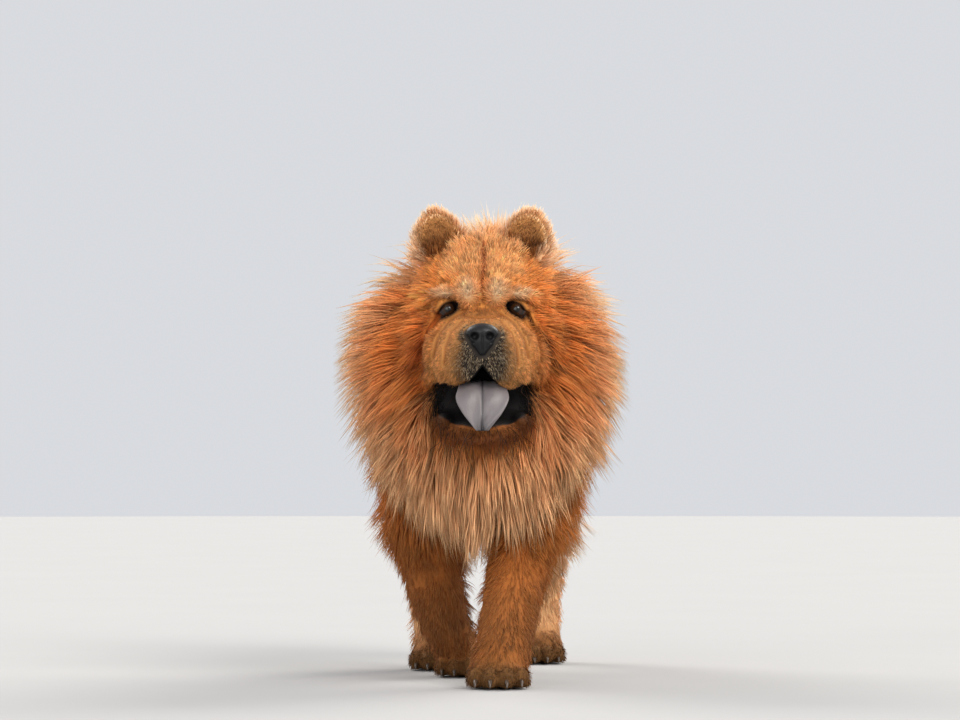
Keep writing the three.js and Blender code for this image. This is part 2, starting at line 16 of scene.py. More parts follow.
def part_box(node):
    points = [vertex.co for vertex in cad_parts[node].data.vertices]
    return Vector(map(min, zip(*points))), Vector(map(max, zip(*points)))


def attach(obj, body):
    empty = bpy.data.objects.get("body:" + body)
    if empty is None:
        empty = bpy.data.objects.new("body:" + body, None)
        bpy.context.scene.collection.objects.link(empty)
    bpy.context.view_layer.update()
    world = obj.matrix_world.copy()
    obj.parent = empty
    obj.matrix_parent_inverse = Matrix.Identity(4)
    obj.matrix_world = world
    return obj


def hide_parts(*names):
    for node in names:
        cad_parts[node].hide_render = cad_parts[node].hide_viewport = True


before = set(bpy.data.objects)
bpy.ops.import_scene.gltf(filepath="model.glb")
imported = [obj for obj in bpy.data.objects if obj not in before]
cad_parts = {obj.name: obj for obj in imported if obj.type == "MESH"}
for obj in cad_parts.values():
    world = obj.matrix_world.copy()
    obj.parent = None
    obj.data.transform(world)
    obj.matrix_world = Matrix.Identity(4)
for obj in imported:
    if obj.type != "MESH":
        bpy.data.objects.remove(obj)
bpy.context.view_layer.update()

MM = 0.001
RNG = np.random.default_rng(5417)

# Driving sizes of the head, in millimetres
EYE_AT = np.array([44.5, -296.0, 494.0])
EYE_RADIUS = 12.5
LID_SLANT = math.radians(30)
MOUTH_TOP = 417.0

# Where the dog's millimetres lie in the part's frame
left_eye = np.mean(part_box("eye_left"), axis=0)
right_eye = np.mean(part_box("eye_right"), axis=0)
MIDDLE = (left_eye[0] + right_eye[0]) / 2
ORIGIN = np.array([MIDDLE, left_eye[1] - EYE_AT[1] * MM, 0.0])


def to_frame(points):
    """The dog's millimetres as metres in the part's frame."""
    return np.asarray(points) * MM + ORIGIN


def unit(v, least=1e-9):
    """Directions of length one, apart from those below the least length, which stay short."""
    return v / np.maximum(np.linalg.norm(v, axis=-1, keepdims=True), least)


# Shapes as signed distances: negative inside


def spline(rows, t):
    """Points at the places t along a smooth curve through the rows."""
    rows = np.asarray(rows, float)
    last = len(rows) - 1
    i = np.clip(np.floor(t).astype(int), 0, last - 1)
    f = (t - i)[:, None]
    p0, p1 = rows[np.maximum(i - 1, 0)], rows[i]
    p2, p3 = rows[i + 1], rows[np.minimum(i + 2, last)]
    m1, m2 = (p2 - p0) / 2, (p3 - p1) / 2
    f2, f3 = f * f, f * f * f
    return (2 * f3 - 3 * f2 + 1) * p1 + (f3 - 2 * f2 + f) * m1 + (3 * f2 - 2 * f3) * p2 + (f3 - f2) * m2


def oval(q, radii):
    """Distance from an ellipsoid at the origin, close to exact near its surface."""
    k0 = np.sqrt(np.sum((q / radii) ** 2, axis=-1))
    k1 = np.sqrt(np.sum((q / radii**2) ** 2, axis=-1))
    return k0 * (k0 - 1) / np.maximum(k1, 1e-9)


def turned(q, about, angle):
    """Offsets turned by an angle about the X, Y or Z axis."""
    i, j = [(1, 2), (2, 0), (0, 1)]["XYZ".index(about)]
    out = q.copy()
    out[:, i] = math.cos(angle) * q[:, i] + math.sin(angle) * q[:, j]
    out[:, j] = -math.sin(angle) * q[:, i] + math.cos(angle) * q[:, j]
    return out


def ball(p, at, radii, about="X", angle=0.0):
    """An ellipsoid, turned where an angle is given."""
    q = p - np.asarray(at, float)
    if angle:
        q = turned(q, about, angle)
    return oval(q, np.asarray(radii, float))


def soft_min(a, b, blend):
    """Two shapes joined, with a rounded seam."""
    h = np.clip(0.5 + 0.5 * (b - a) / blend, 0, 1)
    return b * (1 - h) + a * h - blend * h * (1 - h)


def soft_max(a, b, blend):
    """What two shapes have in common, with a rounded edge."""
    return -soft_min(-a, -b, blend)


def mirrored(p):
    """The points with all of them on the dog's left side."""
    q = p.copy()
    q[:, 0] = np.abs(q[:, 0])
    return q


def pair(p, at, radii, about="X", angle=0.0):
    """The same oval on both sides of the dog."""
    return ball(mirrored(p), at, radii, about, angle)


def blended(shape, *others):
    """A shape with others joined to it softly, each given with the width of its blend."""
    for other, width in others:
        shape = soft_min(shape, other, width)
    return shape


FAR = 50.0


def box_distance(p, low, high):
    """Distance from a box that holds a shape, which is never more than the shape's own."""
    out = np.maximum(np.maximum(low - p, p - high), 0)
    return np.sqrt(np.sum(out * out, axis=1))


def where_near(field, p, low, high):
    """A field worked out only near its shape, with the distance from its box elsewhere."""
    best = box_distance(p, np.asarray(low, float), np.asarray(high, float))
    near = best < FAR
    best[near] = field(p[near])
    return best


class Tube:
    """A body of oval rings round a spine that bends in the plane of Y and Z.

    A station is x, y, z, half width, radius on the upper side and radius on the lower side.
    """

    def __init__(self, stations, samples=11, shrink=0.0, caps=(16, 16)):
        self.caps = caps
        t = np.linspace(0, len(stations) - 1, samples)
        rows = spline(stations, t)
        self.centre = rows[:, :3]
        self.radii = rows[:, 3:] - shrink
        along = np.gradient(self.centre, axis=0)
        along[:, 0] = 0
        self.along = unit(along)
        self.rise = np.stack([0 * along[:, 0], -self.along[:, 2], self.along[:, 1]], axis=1)
        widest = self.radii.max(axis=1, keepdims=True)
        self.low = (self.centre - widest).min(axis=0)
        self.high = (self.centre + widest).max(axis=0)

    def locate(self, p):
        """Distance, place along the spine from 0 to 1, and angle round it; rough when far off."""
        far = box_distance(p, self.low, self.high)
        near = far < FAR
        best = far.copy()
        place = np.zeros(len(p))
        angle = np.zeros(len(p))
        best[near], place[near], angle[near] = self.locate_near(p[near])
        return best, place, angle

    def locate_near(self, p):
        best = np.full(len(p), 1e9)
        place = np.zeros(len(p))
        angle = np.zeros(len(p))
        count = len(self.centre) - 1
        for k in range(count):
            a, b = self.centre[k], self.centre[k + 1]
            ab = b - a
            t = np.clip(((p - a) @ ab) / (ab @ ab), 0, 1)
            q = p - a - t[:, None] * ab
            rise = self.rise[k] + t[:, None] * (self.rise[k + 1] - self.rise[k])
            along = self.along[k] + t[:, None] * (self.along[k + 1] - self.along[k])
            radii = self.radii[k] + t[:, None] * (self.radii[k + 1] - self.radii[k])
            up = np.sum(q * rise, axis=1)
            out = np.where(up > 0, radii[:, 1], radii[:, 2])
            local = np.stack([q[:, 0], up, np.sum(q * along, axis=1)], axis=1)
            cap = np.full(len(p), self.caps[0] if k < count / 2 else self.caps[1], float)
            size = np.stack([radii[:, 0], out, cap], axis=1)
            distance = oval(local, size)
            nearer = distance < best
            best = np.where(nearer, distance, best)
            place = np.where(nearer, (k + t) / count, place)
            angle = np.where(nearer, np.arctan2(up, q[:, 0]), angle)
        return best, place, angle

    def field(self, p):
        return self.locate(p)[0]

    def flow(self, place):
        """The spine's direction at each place from 0 to 1."""
        s = np.clip(place, 0, 1) * (len(self.along) - 1)
        i = np.minimum(s.astype(int), len(self.along) - 2)
        f = (s - i)[:, None]
        return self.along[i] * (1 - f) + self.along[i + 1] * f


TORSO = Tube(
    [
        (0, -236, 318, 94, 96, 82),
        (0, -190, 334, 114, 120, 100),
        (0, -120, 350, 124, 126, 106),
        (0, -50, 358, 124, 122, 106),
        (0, 60, 364, 118, 116, 100),
        (0, 170, 374, 114, 110, 92),
        (0, 248, 384, 102, 96, 84),
        (0, 284, 388, 78, 72, 64),
    ],
    shrink=7,
)
NECK = Tube(
    [
        (0, -236, 456, 104, 106, 118),
        (0, -205, 446, 122, 128, 146),
        (0, -172, 434, 134, 142, 158),
        (0, -128, 420, 136, 146, 146),
        (0, -72, 404, 120, 124, 110),
    ],
    samples=8,
    shrink=6,
)
TAIL = Tube(
    [
        (4, 238, 440, 26, 26, 26),
        (8, 292, 474, 32, 30, 30),
        (12, 316, 530, 36, 34, 32),
        (15, 284, 574, 38, 34, 32),
        (15, 222, 584, 36, 32, 30),
        (13, 160, 572, 30, 26, 26),
        (10, 112, 552, 18, 15, 15),
    ],
    samples=12,
    shrink=8,
)
LEG_FUR = 9
FORE_LEFT = Tube(
    [
        (24, -222, 30, 45, 42, 42),
        (30, -206, 70, 46, 44, 46),
        (39, -186, 115, 49, 48, 51),
        (54, -154, 180, 54, 53, 58),
        (70, -128, 250, 58, 58, 64),
        (76, -122, 330, 52, 60, 60),
    ],
    shrink=LEG_FUR,
)
FORE_RIGHT = Tube(
    [
        (-32, 24, 26, 37, 33, 33),
        (-40, 16, 45, 41, 38, 38),
        (-52, 0, 76, 45, 43, 43),
        (-63, -24, 120, 48, 48, 49),
        (-73, -56, 180, 53, 53, 56),
        (-79, -88, 250, 57, 58, 62),
        (-78, -102, 330, 52, 60, 60),
    ],
    shrink=LEG_FUR,
)
HIND_LEFT = Tube(
    [
        (86, 352, 28, 37, 38, 31),
        (85, 366, 70, 37, 35, 33),
        (84, 362, 122, 41, 40, 40),
        (82, 312, 182, 48, 50, 48),
        (80, 256, 250, 55, 66, 64),
        (74, 236, 330, 58, 76, 74),
        (62, 228, 410, 52, 70, 66),
    ],
    shrink=LEG_FUR,
)
HIND_RIGHT = Tube(
    [
        (-68, 188, 28, 37, 38, 31),
        (-70, 202, 70, 37, 35, 33),
        (-72, 212, 122, 41, 40, 40),
        (-74, 192, 182, 48, 50, 50),
        (-76, 184, 250, 55, 66, 68),
        (-74, 204, 330, 58, 76, 78),
        (-62, 224, 410, 52, 70, 70),
    ],
    shrink=LEG_FUR,
)
LEGS = {"fore_l": FORE_LEFT, "fore_r": FORE_RIGHT, "hind_l": HIND_LEFT, "hind_r": HIND_RIGHT}
MUZZLE = Tube(
    [
        (0, -371, 434, 41, 34, 36),
        (0, -354, 436, 51, 43, 40),
        (0, -326, 440, 61, 50, 42),
        (0, -280, 448, 70, 57, 44),
    ],
    samples=6,
    shrink=1,
    caps=(7, 10),
)
JAW = Tube(
    [
        (0, -349, 340, 25, 9, 10),
        (0, -337, 341, 35, 10, 13),
        (0, -305, 343, 46, 12, 18),
        (0, -262, 350, 54, 22, 28),
    ],
    samples=6,
    caps=(6, 6),
)
# Each paw: its middle on the floor, its half length and its size
PAWS = {
    "fore_l": (21, -234, 44, 1.06),
    "fore_r": (-29, 14, 34, 0.92),
    "hind_l": (86, 336, 42, 0.9),
    "hind_r": (-68, 174, 42, 0.9),
}
TOES = [(-28, -26), (-10, -38), (10, -38), (28, -26)]
EAR_AT = (58, -224, 588)
EAR_SLANT = 0.14


def paw_field(p, spec):
    """A round paw with four toes, flat on the floor."""
    x, y, long, size = spec
    f = ball(p, (x, y + 2, 17), (34 * size, (long - 5) * size, 26))
    for tx, ty in TOES:
        at = (x + tx * size, y + ty * size * long / 42, 13)
        f = soft_min(f, ball(p, at, (10.5 * size, 18.5 * size, 15.5)), 3)
    return soft_max(f, 1.5 - p[:, 2], 3)


def at_ear(p):
    """Places seen from the middle of the ear on their side."""
    return turned(mirrored(p) - np.array(EAR_AT, float), "Y", EAR_SLANT)


def ear_field(p):
    """A thick, upright shell with a hollow front."""
    q = at_ear(p)
    taper = 1 - 0.26 * np.clip(q[:, 2] / 40, -0.6, 1)
    q[:, 0] /= taper
    shell = oval(q, np.array([32.0, 13.0, 37.0]))
    cup = oval(q - np.array([1.0, -13.0, 0.0]), np.array([21.0, 11.0, 27.0]))
    return soft_max(shell, -cup, 3)


LID_HALF = (12.0, 7.6)


def almond_edge(p):
    """Distance in the front view from the edge of the opening between the lids."""
    x = np.abs(p[:, 0]) - EYE_AT[0]
    z = p[:, 2] - EYE_AT[2]
    a = math.cos(LID_SLANT) * x - math.sin(LID_SLANT) * z
    b = math.sin(LID_SLANT) * x + math.cos(LID_SLANT) * z
    b = b + 1.6 * (a / LID_HALF[0]) ** 2
    return (np.sqrt((a / LID_HALF[0]) ** 2 + (b / LID_HALF[1]) ** 2) - 1) * LID_HALF[1]


def almond(p):
    """Inside the opening between the lids, in front of the eye."""
    return np.maximum(almond_edge(p), p[:, 1] - (EYE_AT[1] - 3))


def line_distance(p, points):
    """Distance in the front view from a line through the given X and Z places."""
    best = np.full(len(p), 1e9)
    q = p[:, [0, 2]]
    for a, b in zip(points[:-1], points[1:]):
        a, b = np.array(a, float), np.array(b, float)
        t = np.clip(((q - a) @ (b - a)) / ((b - a) @ (b - a)), 0, 1)
        best = np.minimum(best, np.linalg.norm(q - a - t[:, None] * (b - a), axis=1))
    return best


# Creases of the face in the front view: places, half width and depth
FOREHEAD_CREASE = [(1, 572), (2, 548), (0, 528), (0, 508)]
LEFT_GROOVE = [(58, 489), (66, 474), (76, 458), (82, 440), (85, 418), (86, 402)]
RIGHT_GROOVE = [(-56, 487), (-68, 468), (-77, 450), (-81, 430), (-80, 410)]
BOTH_SIDES = [
    ([(20, 490), (40, 476), (54, 454), (59, 430)], 2.6, 2.4),
    ([(24, 475), (37, 461), (44, 441), (46, 420)], 2.4, 1.9),
    ([(32, 499), (51, 484), (66, 461), (71, 437), (70, 416)], 2.6, 2.2),
    ([(33, 501), (44, 508), (58, 505), (70, 493)], 2.8, 2.4),
]
CREASES = [
    (FOREHEAD_CREASE, 3.0, 5.0),
    (LEFT_GROOVE, 3.2, 5.0),
    (RIGHT_GROOVE, 4.2, 3.6),
    ([(-24, 484), (-10, 480), (10, 480), (24, 484)], 2.2, 1.8),
]
for places, width, depth in BOTH_SIDES:
    CREASES.append((places, width, depth))
    CREASES.append(([(-1.06 * x, z + 2) for x, z in places], width * 1.15, depth * 0.85))


def creased(p, f):
    """A shape with the creases of the face pressed into it."""
    front = np.clip((-262 - p[:, 1]) / 16, 0, 1)
    for points, width, depth in CREASES:
        f = f + front * depth * np.exp(-((line_distance(p, points) / width) ** 2))
    return f


def skull_field(p):
    """Skull, cheeks, throat, muzzle with its pads, brows and the rims of the eyes."""
    return blended(
        ball(p, (0, -236, 505), (80, 80, 84)),
        (pair(p, (48, -262, 448), (40, 44, 50)), 14),
        (ball(p, (0, -246, 406), (60, 44, 58)), 14),
        (MUZZLE.field(p), 9),
        (pair(p, (53, -301, 430), (26, 35, 34)), 7),
        (pair(p, (20, -312, 515), (16, 13, 17)), 7),
        (pair(p, (47, -300, 514), (22, 12, 8), "Y", 0.35), 6),
        (pair(p, EYE_AT, (18, 15.5, 14.5)), 5),
    )


def mouth_field(p):
    """The open mouth: a wide, low space."""
    q = p - np.array([0, -345, 377.0])
    q[:, 0] = 62 * (np.abs(q[:, 0]) / 62) ** 2.2
    return oval(q, np.array([62.0, 80.0, 26.0]))


def peak_field(p):
    """The notch under the nose where the upper lips part, an upturned V."""
    wedge = 0.78 * np.abs(p[:, 0]) + 0.62 * (p[:, 2] - MOUTH_TOP - 2)
    return soft_max(soft_max(wedge, 372 - p[:, 2], 4), p[:, 1] + 302, 4)


# The hanging upper lips: their middles and radii
UPPER_LIPS = [np.array([35.0, -341, 419]), np.array([-36.0, -341, 424])]
LIP_RADII = np.array([27.0, 33.0, 30.0])


def upper_lips(p):
    return np.minimum(ball(p, UPPER_LIPS[0], LIP_RADII), ball(p, UPPER_LIPS[1], LIP_RADII))


def jaw_field(p):
    """The lower jaw, with a lip that rises towards the corners of the mouth."""
    return soft_min(JAW.field(p), pair(p, (49, -298, 351), (10, 30, 9)), 10)


def head_field(p):
    """The head without its ears: skull, open mouth, lips, jaw, lids and folds."""
    f = soft_max(skull_field(p), -mouth_field(p), 4)
    f = soft_min(f, upper_lips(p), 6)
    f = soft_max(f, -peak_field(p), 3)
    f = soft_min(f, jaw_field(p), 6)
    f = soft_max(f, -almond(p), 1.2)
    return creased(p, f)


def part_distances(p):
    """The distance from each part of the body."""
    d = {}
    d["head"] = where_near(head_field, p, (-100, -400, 350), (100, -150, 600))
    d["jaw"] = where_near(jaw_field, p, (-62, -356, 322), (62, -256, 380))
    d["ear"] = where_near(ear_field, p, (-110, -245, 545), (110, -205, 630))
    d["mane"] = NECK.field(p)
    d["trunk"] = TORSO.field(p)
    d["tail"] = TAIL.field(p)
    for name, leg in LEGS.items():
        d[name] = leg.field(p)
        x, y, long, size = PAWS[name]
        low, high = (x - 42, y - 64, 0), (x + 42, y + 46, 44)
        d["paw_" + name] = where_near(lambda q: paw_field(q, PAWS[name]), p, low, high)
    return d


def skin_field(p):
    """The whole skin as one body."""
    d = part_distances(p)
    f = soft_min(d["trunk"], d["mane"], 30)
    f = soft_min(f, soft_min(d["head"], d["ear"], 7), 14)
    for name in LEGS:
        blend = 22 if name.startswith("fore") else 30
        f = soft_min(f, soft_min(d[name], d["paw_" + name], 8), blend)
    return soft_min(f, d["tail"], 14)


CORNERS = np.array([[1, -1, -1], [-1, -1, 1], [-1, 1, -1], [1, 1, 1]], float)


def slope(field, p, step=0.4):
    """The gradient of a field, from the corners of a small tetrahedron."""
    return sum(field(p + step * c)[:, None] * c for c in CORNERS) / (4 * step)


def sample(field, low, high, pitch, coarse=4):
    """A field's values on a grid: fully near the surface, and roughly far from it."""
    low = np.asarray(low, float)
    cells = np.ceil((np.asarray(high, float) - low) / (pitch * coarse)).astype(int)
    shape = cells * coarse
    axes = [low[i] + pitch * (np.arange(shape[i]) + 0.5) for i in range(3)]
    middles = [low[i] + pitch * coarse * (np.arange(cells[i]) + 0.5) for i in range(3)]
    rough_at = np.stack(np.meshgrid(*middles, indexing="ij"), axis=-1).reshape(-1, 3)
    rough = field(rough_at).reshape(cells)
    values = rough
    for axis in range(3):
        values = np.repeat(values, coarse, axis=axis)
    near = np.argwhere(np.abs(values) < pitch * coarse * 1.6)
    fine_at = np.stack([axes[i][near[:, i]] for i in range(3)], axis=1)
    step = 200000
    fine = [field(fine_at[k : k + step]) for k in range(0, len(fine_at), step)]
    values = values.astype(float)
    values[tuple(near.T)] = np.concatenate(fine)
    return values, np.array([a[0] for a in axes])


def surface_net(values, start, pitch):
    """A closed mesh of quads on the zero of a sampled field."""
    inside = values < 0
    nx, ny, nz = values.shape
    corners = [
        inside[i : nx - 1 + i, j : ny - 1 + j, k : nz - 1 + k] for i, j, k in np.ndindex(2, 2, 2)
    ]
    count = np.sum(corners, axis=0)
    cells = np.argwhere((count > 0) & (count < 8))
    ids = np.full((nx - 1, ny - 1, nz - 1), -1)
    ids[tuple(cells.T)] = np.arange(len(cells))
    total, hits = crossings(values, cells)
    points = start + pitch * total / hits[:, None]
    quads = [quads_across(inside, ids, axis, way) for axis in range(3) for way in (True, False)]
    return points, np.concatenate(quads)


def crossings(values, cells):
    """The sum and the number of the places where the edges of each cell cross the surface."""
    total = np.zeros((len(cells), 3))
    hits = np.zeros(len(cells))
    for axis in range(3):
        others = [a for a in range(3) if a != axis]
        for corner in np.ndindex(2, 2):
            a = cells.copy()
            a[:, others] += corner
            b = a.copy()
            b[:, axis] += 1
            va, vb = values[tuple(a.T)], values[tuple(b.T)]
            crossing = (va < 0) != (vb < 0)
            t = np.where(crossing, va / np.where(crossing, va - vb, 1), 0)
            at = a.astype(float)
            at[:, axis] += t
            total += np.where(crossing[:, None], at, 0)
            hits += crossing
    return total, hits


def quads_across(inside, ids, axis, way):
    """Quads over the grid's edges along one axis that leave the shape, or that enter it."""
    u, v = [(1, 2), (2, 0), (0, 1)][axis]
    low = [slice(1, -1)] * 3
    low[axis] = slice(0, -1)
    high = list(low)
    high[axis] = slice(1, None)
    a, b = inside[tuple(low)], inside[tuple(high)]
    edges = np.argwhere((a == way) & (b != way)) + 1
    edges[:, axis] -= 1
    ring = []
    for du, dv in ((-1, -1), (0, -1), (0, 0), (-1, 0)):
        cell = edges.copy()
        cell[:, u] += du
        cell[:, v] += dv
        ring.append(ids[tuple(cell.T)])
    quads = np.stack(ring, axis=1)
    return quads if way else quads[:, ::-1]


def settle(field, points, rounds=4, most=3.0):
    """Moves points on to the zero of a field."""
    p = points.copy()
    for _ in range(rounds):
        f = field(p)
        g = slope(field, p)
        size = np.maximum(np.sum(g * g, axis=1), 0.05)
        move = (f / size)[:, None] * g
        length = np.linalg.norm(move, axis=1, keepdims=True)
        p -= move * np.minimum(1, most / np.maximum(length, 1e-9))
    return p


def add_piece(name, points, faces):
    """A mesh object from the dog's millimetres, riding on the part."""
    mesh = bpy.data.meshes.new(name)
    mesh.from_pydata(to_frame(points).tolist(), [], [list(map(int, f)) for f in faces])
    mesh.update()
    mesh.shade_smooth()
    piece = bpy.data.objects.new(name, mesh)
    bpy.context.collection.objects.link(piece)
    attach(piece, "root")
    return piece


# Colours, as red, green and blue in linear light
DEEP = np.array([0.30, 0.040, 0.004])
RUST = np.array([0.56, 0.130, 0.018])
ORANGE = np.array([0.94, 0.370, 0.085])
GOLD = np.array([0.90, 0.450, 0.150])
TAN = np.array([0.66, 0.310, 0.105])
CREAM = np.array([0.95, 0.740, 0.480])
PALE = np.array([0.93, 0.790, 0.590])
DUSK = np.array([0.10, 0.030, 0.009])
INK = np.array([0.009, 0.008, 0.008])
GREY = np.array([0.15, 0.13, 0.11])


def ramp(value, low, high):
    """Zero up to the low value, one from the high value on, and smooth between."""
    t = np.clip((value - low) / (high - low), 0, 1)
    return t * t * (3 - 2 * t)


def mixed(a, b, t):
    """From one colour to another, by an amount for each point."""
    return a + (b - a) * np.asarray(t)[:, None]


def near_point(p, at, size):
    """One at a place, falling to nothing away from it."""
    return np.exp(-np.sum(((p - np.asarray(at, float)) / size) ** 2, axis=1))


def part_weights(p):
    """How much each part of the body owns a point of the skin, adding up to one."""
    d = part_distances(p)
    d["chest"] = d["trunk"] + 60 * ramp(p[:, 1], -190, -120)
    d["trunk"] = d["trunk"] + 60 * ramp(-p[:, 1], 120, 200)
    names = list(d)
    table = np.stack([d[name] for name in names], axis=1)
    table = np.exp(-(table - table.min(axis=1, keepdims=True)) / 8.0)
    table /= table.sum(axis=1, keepdims=True)
    return {name: table[:, i] for i, name in enumerate(names)}


def all_over(colour, p):
    """The same row for every point."""
    return np.repeat(np.asarray(colour, float)[None], len(p), axis=0)


class Colours:
    """The colours of hairs at the root and at the tip."""

    def __init__(self, p, root, tip):
        self.root = all_over(root, p)
        self.tip = all_over(tip, p)

    def add(self, root, tip, amount, at_root=1.0, at_tip=1.0):
        """Blends in another pair of colours, where the amount is above zero."""
        self.root = mixed(self.root, root, amount * at_root)
        self.tip = mixed(self.tip, tip, amount * at_tip)


def markings(p, w):
    """The coat's colours at the root and at the tip of its hairs."""
    x, y, z = p.T
    coat = Colours(p, RUST, ORANGE * 0.8)

    # The mane turns from orange round the face to cream behind it: in part a paler coat, in part
    # painted rim light on the halo round the head
    back = ramp(y + 0.25 * np.abs(x), -222, -120) * (1 - 0.45 * ramp(y, -130, -30))
    upper = np.clip(w["mane"] + w["trunk"] + w["chest"], 0, 1)
    mane = upper * ramp(-y, 5, 150)
    coat.add(mixed(RUST * 1.1, GOLD * 0.8, back), mixed(ORANGE, CREAM, back), mane)
    low = ramp(-z, -400, -300)
    front = np.clip(w["chest"] + mane * low, 0, 1) * ramp(-y, 90, 170)
    coat.add(GOLD * 0.7 + CREAM * 0.2, GOLD * 0.35 + CREAM * 0.65, front, 0.9, 0.95)

    hind = w["hind_l"] + w["hind_r"]
    breech = upper * ramp(y, 205, 290) * ramp(-z, -420, -330)
    rear = np.clip(hind * ramp(-z, -330, -210) + breech, 0, 1)
    coat.add(GOLD * 0.85, CREAM * 0.97, rear, 0.8, 0.9)
    belly = ramp(-z, -330, -270) * w["trunk"]
    coat.add(TAN * 0.75, GOLD, belly, 0.7, 0.7)
    coat.add(GOLD, PALE, w["tail"], 0.8)
    legs = w["fore_l"] + w["fore_r"] + hind * (1 - rear)
    # The legs turn darker towards the paws, and the paws darker still: painted shade low under the body
    down = ramp(-z, -240, -60)
    coat.add(mixed(RUST * 0.8, RUST * 0.42, down), mixed(ORANGE * 0.7, TAN * 0.68, down), legs)
    coat.add(TAN * 0.18, TAN * 0.34, sum(w["paw_" + name] for name in LEGS))

    face = np.clip(w["head"] + w["jaw"], 0, 1)
    face = np.clip(face + (w["mane"] + w["chest"]) * by_mouth(p), 0, 1)
    on_face = face_markings(p)
    coat.add(on_face.root, on_face.tip, face)

    # The hollow of each ear is darker, near black low inside it: painted shade in the hollow
    cup = ramp(-ear_cup_depth(p), -5, 0)
    shaded_low_cup = ramp(-z, -602, -570)
    cup_root = mixed(GOLD, mixed(TAN * 0.6, DUSK, shaded_low_cup), cup)
    cup_tip = mixed(PALE, mixed(TAN, DUSK * 1.5, shaded_low_cup), cup)
    coat.add(cup_root, cup_tip, w["ear"])

    rims = np.exp(-((np.maximum(almond_edge(p), 0) / 3.6) ** 2)) * ramp(-y, 285, 296)
    corner = near_point(mirrored(p), (33, -306, 500), (5, 20, 3.2))
    # Black lids, eye corners and lips, with painted shadow on the coat in the corners of the mouth
    black = np.clip(lip_amount(p) + rims + corner + 1.2 * mouth_shade(p), 0, 1)
    coat.add(INK, INK * 1.6, black)
    return coat.root, coat.tip


# The face's crease and grooves darkened with painted shade: their places, width, colour and share
CREASE_SHADE_LINES = [
    (FOREHEAD_CREASE, 4.2, DEEP, 1.0),
    (LEFT_GROOVE, 3.6, DUSK * 0.4, 1.0),
    (RIGHT_GROOVE, 6.5, DEEP, 0.8),
]


def face_markings(p):
    """The colours of the face: cheeks, brows, muzzle, chin, lips' edges, and painted shade in the
    folds.
    """
    q = mirrored(p)
    x, y, z = q.T
    cheek = ramp(x, 48, 80) * ramp(-z, -525, -470)
    coat = Colours(p, ORANGE * 0.85, ORANGE)
    coat.add(RUST * 1.15, ORANGE * 1.03, cheek)
    brow = ramp(z, 520, 545) * ramp(-x, -62, -40)
    coat.add(GOLD * 0.9, GOLD * 0.7 + CREAM * 0.3, brow, 0.7, 0.8)
    muzzle = ramp(-y, 296, 330) * ramp(-z, -500, -480)
    coat.add(TAN * 0.8, GOLD, muzzle, 0.8, 0.8)
    bridge = near_point(q, (0, -350, 488), (24, 50, 13))
    coat.add(RUST * 0.5, ORANGE * 0.46, bridge, 0.8, 0.8)
    pads = near_point(q, (19, -324, 518), (11, 30, 14)) + near_point(q, (48, -308, 514), (16, 26, 5))
    coat.add(CREAM * 0.7, CREAM, np.clip(pads, 0, 1), 0.8, 0.75)
    chin = ramp(-z, -370, -352) * ramp(-y, 255, 290)
    coat.add(DUSK, RUST * 0.7, chin, 0.85, 0.85)
    # The coat at the corners of the mouth near black: partly the black edge of the lips, partly painted
    # shadow
    corner = by_mouth(p) * ramp(-z, -408, -390) * ramp(x, 36, 56)
    coat.add(INK * 2, DUSK, corner)
    by_nose = np.exp(-((nose_field(p) / 6) ** 2)) * ramp(-z, -468, -458)
    coat.add(INK * 2, INK * 2, by_nose)
    coat.add(GREY * 0.16, GREY * 0.45, speckle(p), 0.95, 0.92)
    # Painted shade along the forehead crease and the grooves beside the muzzle, darkest on the left
    for line, width, colour, share in CREASE_SHADE_LINES:
        dark = share * np.exp(-((line_distance(p, line) / width) ** 2)) * ramp(-y, 258, 280)
        coat.add(colour, colour * 1.4, dark)
    # Painted shade in the other creases of the face
    for line, width, depth in CREASES[3:]:
        dark = 0.62 * np.exp(-((line_distance(p, line) / (width * 1.3)) ** 2)) * ramp(-y, 285, 300)
        coat.add(RUST * 0.3, RUST * 0.62, dark)
    return coat


def speckle(p):
    """Where black and pale hairs are mixed: round the nose and on the upper lip."""
    lip = near_point(p, (1, -382, 425), (29, 46, 27)) * ramp(-p[:, 1], 335, 352)
    ring = np.exp(-((nose_field(p) / 7) ** 2))
    return np.clip(1.9 * lip + 0.9 * ring, 0, 1) * ramp(-p[:, 2], -480, -462)


def ear_cup_depth(p):
    """Below zero inside the hollow of an ear."""
    return oval(at_ear(p) - np.array([-1.0, -14.0, 1.0]), np.array([25.0, 13.0, 32.0]))


def mouth_shade(p):
    """The dark corners of the open mouth, on both sides of the tongue: black lips, with painted shadow
    on the coat and skin under the upper lips.
    """
    out = np.clip(np.abs(p[:, 0]) / 62, 0, 1.3)
    low = 340 + 22 * out**2
    uneven = 0.05 * np.sin(p[:, 2] * 0.9) + 0.04 * np.sin(p[:, 2] * 2.3 + p[:, 1])
    box = ramp(out, 0.4, 0.5) * ramp(-out - uneven, -1.14, -0.93) * ramp(p[:, 2] - low, -5, 3)
    box = box * ramp(-p[:, 2], -405, -398)
    under_lips = np.maximum(ramp(-p[:, 2], -386, -378), ramp(p[:, 1], -330, -312))
    return box * ramp(-p[:, 1], 250, 270) * under_lips


